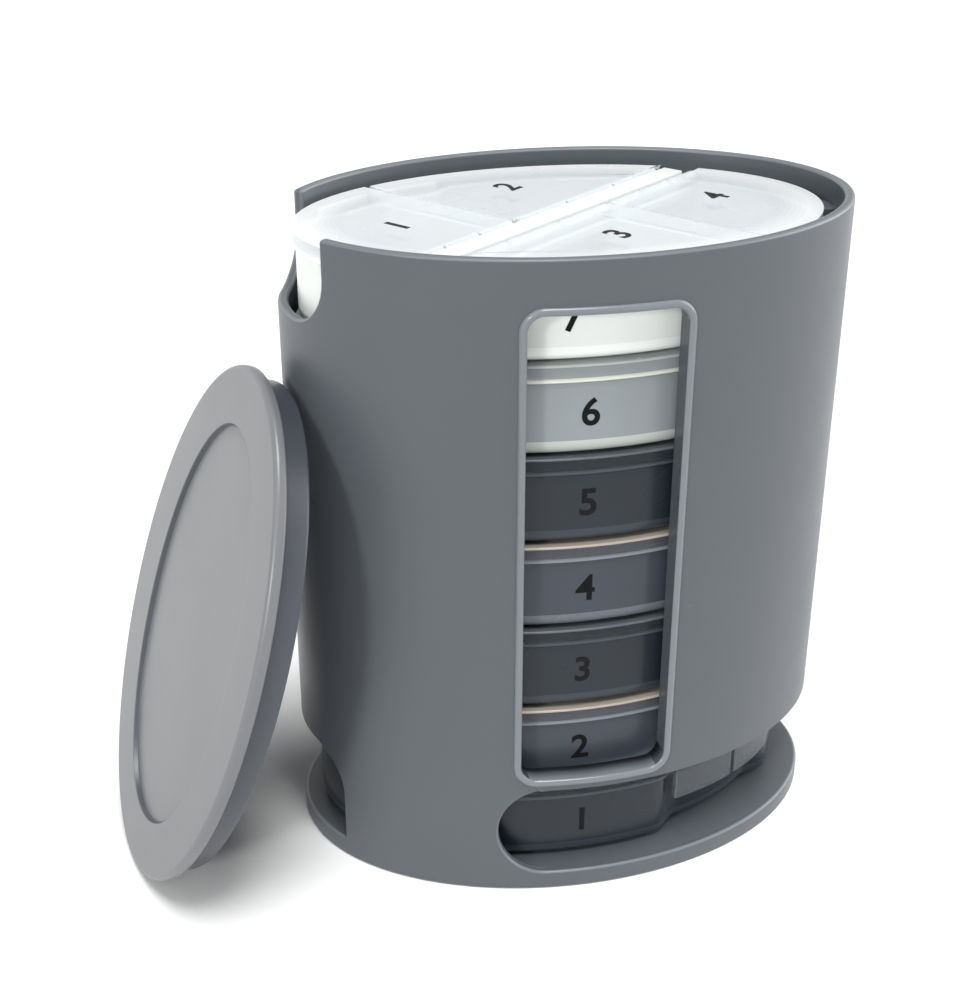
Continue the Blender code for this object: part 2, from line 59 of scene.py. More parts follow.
Tree = bpy.types.NodeTree
Socket = bpy.types.NodeSocket
Shape = bmesh.types.BMesh
Vert = bmesh.types.BMVert
Edge = bmesh.types.BMEdge
Face = bmesh.types.BMFace
Point = tuple[float, float, float]

MM = 0.001
# Points that are less than this many millimetres apart are one point
HAIR = 0.02
# How far off a cutting plane, in millimetres, a point still counts as on it
PLANE_SLACK = HAIR / 10
# Least bend, in degrees, of an edge that a mould would round
CORNER_BEND = 50
# Least bend of an edge that is shaded as a sharp one
SHARP_BEND = 40
# Most bend between faces that are merged in one
FLAT_BEND = 0.25
# Least cosine between a point's largest face and the others that share its normal
NEAR_NORMAL = 0.7
# How many faces go round a small edge, and round the corner of an opening
FEW_STEPS = 2
BLOCK_STEPS = 10
WHITE = (1.0, 1.0, 1.0, 1.0)


# Colours and nodes


def linear(hex_colour: str) -> tuple[float, float, float, float]:
    """Turn an sRGB hex colour to linear light.

    Args:
        hex_colour: Six hex digits after a #.

    Returns:
        Red, green, blue and an alpha of 1.
    """
    shares = [int(hex_colour[i : i + 2], 16) / 255 for i in (1, 3, 5)]
    light = [s / 12.92 if s <= 0.04045 else ((s + 0.055) / 1.055) ** 2.4 for s in shares]
    return (light[0], light[1], light[2], 1.0)


def scaled(hex_colour: str, factor: float, lift: float = 0.0) -> list[float]:
    """Turn an sRGB hex colour to linear light and make it darker or paler.

    Args:
        hex_colour: Six hex digits after a #.
        factor: What each channel is multiplied by.
        lift: What is then added to it.

    Returns:
        Red, green and blue, up to 1, and an alpha of 1.
    """
    return [min(c * factor + lift, 1.0) for c in linear(hex_colour)[:3]] + [1.0]


def add_node(
    tree: Tree,
    kind: str,
    settings: dict[str, object] | None = None,
    inputs: dict[str | int, object] | None = None,
) -> bpy.types.Node:
    """Add a node with its settings and its inputs.

    Args:
        tree: The material's or the world's node tree.
        kind: Blender's name for the node's type.
        settings: Properties of the node.
        inputs: Each input's value, or the socket that feeds it.

    Returns:
        The new node.
    """
    node = tree.nodes.new(kind)
    for key, value in (settings or {}).items():
        setattr(node, key, value)
    for key, value in (inputs or {}).items():
        if isinstance(value, Socket):
            tree.links.new(value, node.inputs[key])
        else:
            node.inputs[key].default_value = value
    return node


def mix(tree: Tree, share: Socket, first: object, second: object) -> Socket:
    """Mix two colours, each given as channels or as a socket, by the second one's share."""
    inputs = {0: share, 6: first, 7: second}
    return add_node(tree, "ShaderNodeMix", {"data_type": "RGBA"}, inputs).outputs[2]


def calculate(tree: Tree, operation: str, first: object, second: object) -> Socket:
    """Work out one number from two, each given as a number or as a socket."""
    inputs = {0: first, 1: second}
    return add_node(tree, "ShaderNodeMath", {"operation": operation}, inputs).outputs[0]


def remap(tree: Tree, value: Socket, inputs: dict[str, float]) -> Socket:
    """Carry a number from one range to another, as the node's other inputs say."""
    node = add_node(tree, "ShaderNodeMapRange", inputs={"Value": value, **inputs})
    return node.outputs["Result"]


def noise(tree: Tree, place: Socket, size_mm: float, detail: float, roughness: float) -> Socket:
    """Make cloudy noise.

    Args:
        tree: The material's node tree.
        place: Gives each point's place.
        size_mm: Size of one cloud.
        detail: How many finer layers are laid over it.
        roughness: How strong those layers are.

    Returns:
        The noise's value, around 0.5.
    """
    inputs = {
        "Vector": place,
        "Scale": 1 / (size_mm * MM),
        "Detail": detail,
        "Roughness": roughness,
    }
    return add_node(tree, "ShaderNodeTexNoise", inputs=inputs).outputs["Fac"]


def start_material(name: str, hex_colour: str) -> tuple[bpy.types.Material, Socket]:
    """Start a material with no shader.

    Args:
        name: Its name.
        hex_colour: Its colour where nodes aren't drawn.

    Returns:
        The material, and the socket that gives each point's place on its piece.
    """
    material = bpy.data.materials.new(name)
    material.use_nodes = True
    material.diffuse_color = linear(hex_colour)
    tree = material.node_tree
    tree.nodes.clear()
    return material, add_node(tree, "ShaderNodeTexCoord").outputs["Object"]


def add_shader(tree: Tree, inputs: dict[str | int, object]) -> None:
    """End a material with a shader that has these inputs."""
    shader = add_node(tree, "ShaderNodeBsdfPrincipled", inputs=inputs)
    add_node(tree, "ShaderNodeOutputMaterial", inputs={"Surface": shader.outputs["BSDF"]})


# Finishes


@dataclass(frozen=True)
class MouldedPlastic:
    """Polypropylene from a spark-eroded mould: a fine matt grain and slightly cloudy colour.

    The real grain is about 0.05 mm, too fine to show, so it is drawn at grain_mm. Flow in
    the mould clouds the colour over some centimetres, and handling leaves dull and shiny areas.
    Faces turn towards the shade colour, as painted shade on floors, in hollows and on sides that
    get less light, and towards the highlight colour, as a painted highlight at rounded edges and
    rims, which on see-through plastic also lets less light through. Specks of dust, up to dust_mm
    in radius, lie about dust_apart_mm from one another.
    """

    name: str
    colour: str
    roughness: float
    sheen_change: float = 0.05
    cloud_mm: float = 26.0
    cloud_share: float = 0.05
    cloud_range: tuple[float, float] = (0.3, 0.7)
    cloud_detail: float = 3.0
    cloud_roughness: float = 0.55
    grain_mm: float = 0.35
    grain_depth_mm: float = 0.004
    grain_detail: float = 2.0
    grain_roughness: float = 0.6
    alpha: float = 1.0
    specular: float = 0.5
    ior: float = 1.49
    # Colours of painted shade and of painted highlight, for faces that ask for them
    dim: str | None = None
    glow: str | None = None
    dust_mm: float = 0.0
    dust_apart_mm: float = 7.0
    dust_factor: float = 2.6

    def turn_colours(self, tree: Tree, colour: Socket) -> tuple[Socket, Socket | float]:
        """Paint shade and highlights: turn the colour towards their colours where faces say so.

        Args:
            tree: The material's node tree.
            colour: The colour so far.

        Returns:
            The turned colour, and how opaque the plastic is.
        """
        alpha: Socket | float = self.alpha
        # Paint shade, then highlights, by each face's share; a highlight also makes see-through
        # plastic more opaque
        for attribute, other in (("dim", self.dim), ("glow", self.glow)):
            if other is None:
                continue
            named = {"attribute_name": attribute}
            share = add_node(tree, "ShaderNodeAttribute", named).outputs["Fac"]
            colour = mix(tree, share, colour, linear(other))
            if attribute == "glow" and self.alpha < 1:
                alpha = remap(tree, share, {"To Min": self.alpha, "To Max": (1 + self.alpha) / 2})
        return colour, alpha

    def add_dust(self, tree: Tree, place: Socket, colour: Socket) -> Socket:
        """Lay pale specks of dust on the colour.

        Args:
            tree: The material's node tree.
            place: Gives each point's place.
            colour: The colour so far.

        Returns:
            The colour with its specks.
        """
        inputs = {"Vector": place, "Scale": 1 / (self.dust_apart_mm * MM)}
        cells = add_node(tree, "ShaderNodeTexVoronoi", inputs=inputs)
        largest = self.dust_mm / self.dust_apart_mm
        size = calculate(tree, "MULTIPLY", cells.outputs["Color"], largest)
        speck = calculate(tree, "LESS_THAN", cells.outputs["Distance"], size)
        return mix(tree, speck, colour, scaled(self.colour, self.dust_factor))

    def make(self) -> bpy.types.Material:
        """Build the material.

        Returns:
            The material.
        """
        material, place = start_material(self.name, self.colour)
        tree = material.node_tree
        clouds = noise(tree, place, self.cloud_mm, self.cloud_detail, self.cloud_roughness)
        low, high = (scaled(self.colour, 1 + way * self.cloud_share) for way in (-1, 1))
        colour, alpha = self.turn_colours(tree, mix(tree, clouds, low, high))
        if self.dust_mm:
            colour = self.add_dust(tree, place, colour)
        grain = noise(tree, place, self.grain_mm, self.grain_detail, self.grain_roughness)
        sheen = {
            "From Min": self.cloud_range[0],
            "From Max": self.cloud_range[1],
            "To Min": self.roughness - self.sheen_change,
            "To Max": self.roughness + self.sheen_change,
        }
        relief = {"Strength": 1.0, "Distance": self.grain_depth_mm * MM, "Height": grain}
        bump = add_node(tree, "ShaderNodeBump", inputs=relief)
        add_shader(
            tree,
            {
                "Base Color": colour,
                "Roughness": remap(tree, clouds, sheen),
                "Normal": bump.outputs["Normal"],
                "IOR": self.ior,
                "Specular IOR Level": self.specular,
                "Alpha": alpha,
            },
        )
        return material


@dataclass(frozen=True)
class TrayPlastic(MouldedPlastic):
    """Polypropylene of the trays, from a smoother mould, so that it has a soft gloss."""

    roughness: float = 0.24


@dataclass(frozen=True)
class LidPlastic(MouldedPlastic):
    """Thin frosted polypropylene of the lids, which shows the compartments below."""

    roughness: float = 0.26
    grain_depth_mm: float = 0.001
    alpha: float = 0.5


@dataclass(frozen=True)
class PadPrintInk:
    """Pad-printed ink: a thin, even, slightly glossy film that is a little thinner in specks."""

    name: str
    colour: str
    roughness: float = 0.5
    specular: float = 0.1
    speckle_mm: float = 0.5
    speckle_detail: float = 2.0
    speckle_roughness: float = 0.5
    thin_factor: float = 1.25
    thin_lift: float = 0.004

    def make(self) -> bpy.types.Material:
        """Build the material.

        Returns:
            The material.
        """
        material, place = start_material(self.name, self.colour)
        tree = material.node_tree
        speckle = noise(tree, place, self.speckle_mm, self.speckle_detail, self.speckle_roughness)
        thin = scaled(self.colour, self.thin_factor, self.thin_lift)
        add_shader(
            tree,
            {
                "Base Color": mix(tree, speckle, linear(self.colour), thin),
                "Roughness": self.roughness,
                "Specular IOR Level": self.specular,
            },
        )
        return material


class Finish(Enum):
    """Every finish on the organizer, by the piece that has it."""

    # The case's grey: matt, with the odd speck of dust, and a painted highlight that makes its
    # rounded edges paler
    CASE = MouldedPlastic(
        "polypropylene_moulded_case_grey",
        "#50555a",
        roughness=0.40,
        grain_depth_mm=0.014,
        glow="#666c71",
        dust_mm=0.16,
    )
    # The window's frame is smoother than the case; its paler grey is in part painted light for
    # what its rounded bead catches, and its tunnel's sides get painted shade
    FRAME = MouldedPlastic(
        "polypropylene_moulded_frame_grey", "#72787c", roughness=0.24, dim="#474c51"
    )
    # The cap is the case's plastic, painted paler as painted light for the bright reflection its
    # face shows, with painted shade on its plug's sides and its dish wall
    CAP = MouldedPlastic(
        "polypropylene_moulded_cap_grey",
        "#707275",
        roughness=0.34,
        grain_depth_mm=0.01,
        dim="#41454c",
    )
    # Trays of charcoal, grey and white plastic, with a soft gloss and painted highlights on their
    # rims and feet
    TRAY_DARK = TrayPlastic(
        "polypropylene_moulded_tray_charcoal", "#20272e", specular=0.35, glow="#3f464d"
    )
    TRAY_MIDDLE = TrayPlastic(
        "polypropylene_moulded_tray_grey", "#3d424b", specular=0.35, glow="#7c828a"
    )
    # Tray 6 is white plastic like tray 7; its pale grey is painted shade
    TRAY_LIGHT = TrayPlastic("polypropylene_moulded_tray_white_painted_shade", "#888f92", glow="#d6d9ce")
    # The white tray's compartments get a bluish painted shade, growing with depth
    TRAY_WHITE = TrayPlastic(
        "polypropylene_moulded_tray_white",
        "#e4e8e4",
        cloud_share=0.02,
        dim="#8095a8",
        glow="#fbfdf9",
    )
    # Lids are frosted: each side lets about half the light through, and less at the rim, where a
    # painted highlight makes them whiter, as at their rounded edges and tabs
    LID_DARK = LidPlastic(
        "polypropylene_frosted_lid_smoke", "#353b40", specular=0.4, glow="#63696e"
    )
    LID_MIDDLE = LidPlastic("polypropylene_frosted_lid_grey", "#5d6067", glow="#bcb2a4")
    # Tray 6's lid is the white frosted lid; its greyer colour is painted shade
    LID_LIGHT = LidPlastic(
        "polypropylene_frosted_lid_white_painted_shade", "#bcc3c6", alpha=0.45, glow="#d3d8d7"
    )
    LID_WHITE = LidPlastic(
        "polypropylene_frosted_lid_white",
        "#f3f9fc",
        alpha=0.44,
        cloud_share=0.01,
        glow="#ffffff",
    )
    # Black print reads well on pale trays and faintly on dark ones
    INK = PadPrintInk("ink_pad_printed_black", "#07080a")
    INK_FAINT = PadPrintInk("ink_pad_printed_faint", "#121114")

    @cache
    def material(self) -> bpy.types.Material:
        """The finish's material, made on first use."""
        return self.value.make()


# Shaping tools


def block(low: Point, high: Point) -> Shape:
    """Make an axis-aligned block.

    Args:
        low: Its corner with the least coordinates.
        high: The corner across from it.

    Returns:
        The block.
    """
    bm = bmesh.new()
    bmesh.ops.create_cube(bm, size=1.0)
    bmesh.ops.scale(bm, vec=Vector(high) - Vector(low), verts=bm.verts)
    bmesh.ops.translate(bm, vec=(Vector(high) + Vector(low)) / 2, verts=bm.verts)
    return bm


def corners_where(bm: Shape, rule: Callable[[Vector, Vector], bool]) -> list[Edge]:
    """Pick edges whose faces meet sharply.

    Args:
        bm: The shape.
        rule: Takes the edge's two end points and says whether it is wanted.

    Returns:
        The edges.
    """
    bend = math.radians(CORNER_BEND)
    sharp = [e for e in bm.edges if len(e.link_faces) == 2 and e.calc_face_angle(0.0) >= bend]
    return [edge for edge in sharp if rule(edge.verts[0].co, edge.verts[1].co)]


def level_corners(bm: Shape) -> list[Edge]:
    """Pick the level edges whose faces meet sharply."""
    return corners_where(bm, lambda a, b: abs(a.z - b.z) < HAIR)


def round_edges(
    bm: Shape, edges: list[Edge], radius: float, segments: int, clamp: bool = True
) -> list[Face]:
    """Round edges with a bevel.

    Args:
        bm: The shape.
        edges: Its edges to round.
        radius: The rounding's size.
        segments: How many faces go round each edge.
        clamp: Whether roundings stop where they meet.

    Returns:
        The roundings' faces.
    """
    rounded = bmesh.ops.bevel(
        bm,
        geom=edges,
        offset=radius,
        offset_type="OFFSET",
        segments=segments,
        profile=0.5,
        affect="EDGES",
        clamp_overlap=clamp,
        material=-1,
    )
    return rounded["faces"]


def rounded_block(
    low: Point,
    high: Point,
    radius: float,
    corner: Callable[[Vector], bool] = lambda p: True,
) -> Shape:
    """Make a block whose edges along Y are rounded.

    Args:
        low: Its corner with the least coordinates.
        high: The corner across from it.
        radius: The rounding's size.
        corner: Says by an edge's end point whether the edge is rounded.

    Returns:
        The block.
    """
    bm = block(low, high)
    upright = corners_where(bm, lambda a, b: abs(a.y - b.y) > HAIR and corner(a))
    round_edges(bm, upright, radius, BLOCK_STEPS)
    bmesh.ops.remove_doubles(bm, verts=bm.verts, dist=HAIR * 3)
    return bm


def cut_plane(
    bm: Shape,
    point: Vector | Point,
    normal: Vector | Point,
    drop_outer: bool = False,
    drop_inner: bool = False,
    geom: list[Vert | Edge | Face] | None = None,
) -> list[Face]:
    """Cut a shape along a plane.

    Args:
        bm: The shape.
        point: A place on the plane.
        normal: The plane's normal.
        drop_outer: Whether what lies on the normal's side goes.
        drop_inner: Whether what lies on the other side goes.
        geom: What is cut, where that isn't all of the shape.

    Returns:
        The faces that are left of what was cut.
    """
    cut = bmesh.ops.bisect_plane(
        bm,
        geom=geom or [*bm.verts, *bm.edges, *bm.faces],
        dist=PLANE_SLACK,
        plane_co=point,
        plane_no=normal,
        clear_outer=drop_outer,
        clear_inner=drop_inner,
    )
    return [g for g in cut["geom"] if isinstance(g, Face)]


def grow(bm: Shape, loop: list[Edge]) -> tuple[list[Vert], list[Edge], list[Face]]:
    """Draw a new loop of edges out of an open one, in the same place until it is moved.

    Args:
        bm: The shape.
        loop: The open loop.

    Returns:
        The new loop's vertices and edges, and the faces between the loops.
    """
    geom = bmesh.ops.extrude_edge_only(bm, edges=loop)["geom"]
    verts = [g for g in geom if isinstance(g, Vert)]
    fresh = set(verts)
    edges = [g for g in geom if isinstance(g, Edge) and set(g.verts) <= fresh]
    return verts, edges, [g for g in geom if isinstance(g, Face)]


def thicken(bm: Shape, rise: float) -> None:
    """Raise a copy of a flat shape's faces, joined to them by walls.

    Args:
        bm: The flat shape.
        rise: How far its copy is raised.
    """
    raised = bmesh.ops.extrude_face_region(bm, geom=bm.faces[:])
    top = [g for g in raised["geom"] if isinstance(g, Vert)]
    bmesh.ops.translate(bm, vec=(0, 0, rise), verts=top)


def quarter_round(radius: float, steps: int) -> list[tuple[float, float]]:
    """Work out the points of a quarter round, from its foot to its upright side.

    Args:
        radius: Its radius.
        steps: How many stretches it has.

    Returns:
        How far each point lies in from the upright side, and its height over the foot.
    """
    angles = [math.radians(90 * i / steps) for i in range(steps + 1)]
    return [(radius * (1 - math.sin(a)), radius * (1 - math.cos(a))) for a in angles]


def add_object(name: str, data: bpy.types.ID) -> bpy.types.Object:
    """Put a new object in the scene.

    Args:
        name: Its name.
        data: Its mesh, curve, camera or light.

    Returns:
        The object.
    """
    item = bpy.data.objects.new(name, data)
    bpy.context.scene.collection.objects.link(item)
    return item


def carve(body: Shape, tools: list[Shape]) -> Shape:
    """Cut tools, which don't touch one another, out of a body.

    Args:
        body: The shape that is cut. It is freed.
        tools: The cutting shapes. They are freed.

    Returns:
        The cut shape.
    """
    held = []
    for bm in (body, join(tools)):
        mesh = bpy.data.meshes.new("blank")
        bm.to_mesh(mesh)
        bm.free()
        held.append(add_object("blank", mesh))
    cut = held[0].modifiers.new("cut", "BOOLEAN")
    cut.operation = "DIFFERENCE"
    cut.solver = "EXACT"
    cut.object = held[1]
    result = bmesh.new()
    result.from_object(held[0], bpy.context.evaluated_depsgraph_get())
    for item in held:
        bpy.data.objects.remove(item, do_unlink=True)
    bmesh.ops.remove_doubles(result, verts=result.verts, dist=HAIR)
    return result


def slice_along(bm: Shape, low: float, high: float, step: float) -> None:
    """Cut a flat sheet into upright strips, so that it can bend, and keep its normals.

    Args:
        bm: The sheet.
        low: Where along X the strips start.
        high: Where they end.
        step: About how wide each is.
    """
    note_normals(bm)
    count = max(1, round((high - low) / step))
    for i in range(1, count):
        cut_plane(bm, (low + (high - low) * i / count, 0, 0), (1, 0, 0))


def note_normals(bm: Shape) -> None:
    """Keep each vertex's normal, led by its largest face, as a vertex layer.

    Args:
        bm: The shape.
    """
    bmesh.ops.recalc_face_normals(bm, faces=bm.faces)
    layer = bm.verts.layers.float_vector.new("even")
    for vert in bm.verts:
        faces = vert.link_faces
        lead = max(faces, key=lambda f: f.calc_area()).normal
        near = [f.normal * f.calc_area() for f in faces if f.normal.dot(lead) > NEAR_NORMAL]
        vert[layer] = sum(near, Vector()).normalized()


def join(parts: Iterable[Shape]) -> Shape:
    """Gather several shapes in one, as bodies of the same piece.

    Args:
        parts: The shapes. They are freed.

    Returns:
        All of them in one.
    """
    whole = bmesh.new()
    for bm in parts:
        bmesh.ops.recalc_face_normals(bm, faces=bm.faces)
        mesh = bpy.data.meshes.new("part")
        bm.to_mesh(mesh)
        bm.free()
        whole.from_mesh(mesh)
        bpy.data.meshes.remove(mesh)
    return whole


def as_mesh(parts: Iterable[Shape], name: str) -> bpy.types.Mesh:
    """Turn finished shapes in millimetres to one mesh in metres.

    Args:
        parts: The shapes. They are freed. Their kept normals are used if they have any.
        name: The mesh's name.

    Returns:
        The mesh.
    """
    bm = join(parts)
    layer = bm.verts.layers.float_vector.get("even")
    kept = [tuple(v[layer]) for v in bm.verts] if layer else []
    bmesh.ops.scale(bm, vec=(MM, MM, MM), verts=bm.verts)
    mesh = bpy.data.meshes.new(name)
    bm.to_mesh(mesh)
    bm.free()
    mesh.shade_smooth()
    if kept:
        mesh.normals_split_custom_set_from_vertices(kept)
    else:
        mesh.set_sharp_from_angle(angle=math.radians(SHARP_BEND))
    return mesh


def place_piece(
    mesh: bpy.types.Mesh, name: str, body: str, finish: Finish, node: str | None = None
) -> bpy.types.Object:
    """Put a finished mesh in the scene as a piece that rides on a body.

    Args:
        mesh: The mesh, already in its place.
        name: The piece's name.
        body: The CAD body that it moves with.
        finish: Its finish.
        node: The CAD node that it stands for.

    Returns:
        The piece.
    """
    piece = add_object(name, mesh)
    mesh.materials.clear()
    mesh.materials.append(finish.material())
    if not mesh.has_custom_normals:
        piece.modifiers.new("even_normals", "WEIGHTED_NORMAL").keep_sharp = True
    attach(piece, body)
    if node is not None:
        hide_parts(node)
    LOG.info("%s: %d faces, rides on %s", name, len(mesh.polygons), body)
    return piece


@dataclass(frozen=True)
class Oval:
    """An oval outline that can be measured along its length, from a seam, anticlockwise."""

    long: float
    short: float
    seam: float = 135.0
    samples: int = 3601

    def point(self, turn: float, inset: float = 0.0) -> Vector:
        """Point at a parameter in degrees, on the oval drawn in by an inset."""
        t = math.radians(turn)
        return Vector(((self.long - inset) * math.cos(t), (self.short - inset) * math.sin(t), 0.0))

    def holds(self, point: Vector, inset: float) -> bool:
        """Whether a point lies inside the oval drawn in by an inset."""
        return math.hypot(point.x / (self.long - inset), point.y / (self.short - inset)) < 1

    def normal(self, turn: float) -> Vector:
        """Outward direction at a parameter in degrees."""
        t = math.radians(turn)
        return Vector((math.cos(t) / self.long, math.sin(t) / self.short, 0.0)).normalized()

    def lengths(self) -> tuple[np.ndarray, np.ndarray]:
        """Measure the oval.

        Returns:
            Parameters in degrees, and the length from the seam to each.
        """
        turns = np.linspace(self.seam, self.seam + 360, self.samples)
        t = np.radians(turns)
        x, y = self.long * np.cos(t), self.short * np.sin(t)
        steps = np.hypot(np.diff(x), np.diff(y))
        return turns, np.concatenate([[0.0], np.cumsum(steps)])

    def length_at(self, turn: float) -> float:
        """Length from the seam to a parameter in degrees."""
        turns, lengths = self.lengths()
        return float(np.interp(turn, turns, lengths))

    def wrap(self, bm: Shape, straight: bool = False) -> None:
        """Bend a flat sheet onto the oval.

        Args:
            bm: The sheet. X is the length from the seam and Y the depth under the surface.
            straight: Depth goes along +Y, as for a front opening, and not square to the wall.
        """
        layer = bm.verts.layers.float_vector["even"]
        turns, lengths = self.lengths()
        for vert in bm.verts:
            turn = float(np.interp(vert.co.x, lengths, turns))
            outward = self.normal(turn)
            inward = Vector((0, 1, 0)) if straight else -outward
            vert.co = self.point(turn) + inward * vert.co.y + Vector((0, 0, vert.co.z))
            flat = vert[layer]
            onward = Vector((-outward.y, outward.x, 0))
            vert[layer] = onward * flat.x - outward * flat.y + Vector((0, 0, flat.z))
        bmesh.ops.remove_doubles(bm, verts=bm.verts, dist=HAIR)
        bmesh.ops.dissolve_limit(
            bm, angle_limit=math.radians(FLAT_BEND), verts=bm.verts, edges=bm.edges
        )


class Place(Enum):
    """Where a lid lies on its tray, and what that says of the lid."""

    LEFT = ("left", "1", True, False)
    BACK = ("back", "2", False, False)
    FRONT = ("front", "3", False, True)
    RIGHT = ("right", "4", True, True)

    def __init__(self, word: str, number: str, is_left: bool, is_turned: bool) -> None:
        """Name the place's values.

        Args:
            word: The place as nodes name it.
            number: The number on the lid.
            is_left: Whether the lid has the left lid's shape, and not the back one's.
            is_turned: Whether it lies half a turn round from there.
        """
        self.word, self.number = word, number
        self.is_left, self.is_turned = is_left, is_turned


# Print


@dataclass(frozen=True)
class Numeral:
    """A printed number, drawn at the font's own size and then brought to its height."""

    text: str
    height: float
    weight: float = 0.02
    depth: float = 0.01
    steps: int = 6
    film: float = 0.05

    def outline(self) -> Shape:
        """Draw the number.

        Returns:
            The number in the XY plane, at the font's size.
        """
        curve = bpy.data.curves.new("numeral", "FONT")
        curve.body = self.text
        curve.align_x = "CENTER"
        curve.align_y = "CENTER"
        curve.size = 1.0
        curve.offset = self.weight
        curve.extrude = self.depth
        curve.resolution_u = self.steps
        item = add_object("numeral", curve)
        bpy.context.view_layer.update()
        depsgraph = bpy.context.evaluated_depsgraph_get()
        mesh = bpy.data.meshes.new_from_object(item.evaluated_get(depsgraph))
        bm = bmesh.new()
        bm.from_mesh(mesh)
        bpy.data.meshes.remove(mesh)
        bpy.data.objects.remove(item, do_unlink=True)
        bpy.data.curves.remove(curve)
        bmesh.ops.remove_doubles(bm, verts=bm.verts, dist=self.weight / 100)
        return bm

    def flat(self) -> Shape:
        """Make the number.

        Returns:
            The number lying in the XY plane, centred, its film rising along +Z.
        """
        bm = self.outline()
        low, high = ([pick(v.co[i] for v in bm.verts) for i in range(3)] for pick in (min, max))
        size = self.height / (high[1] - low[1])
        centre = Vector(((high[0] + low[0]) / 2, (high[1] + low[1]) / 2, low[2]))
        bmesh.ops.translate(bm, vec=-centre, verts=bm.verts)
        bmesh.ops.scale(bm, vec=(size, size, self.film / (high[2] - low[2])), verts=bm.verts)
        return bm


# Case


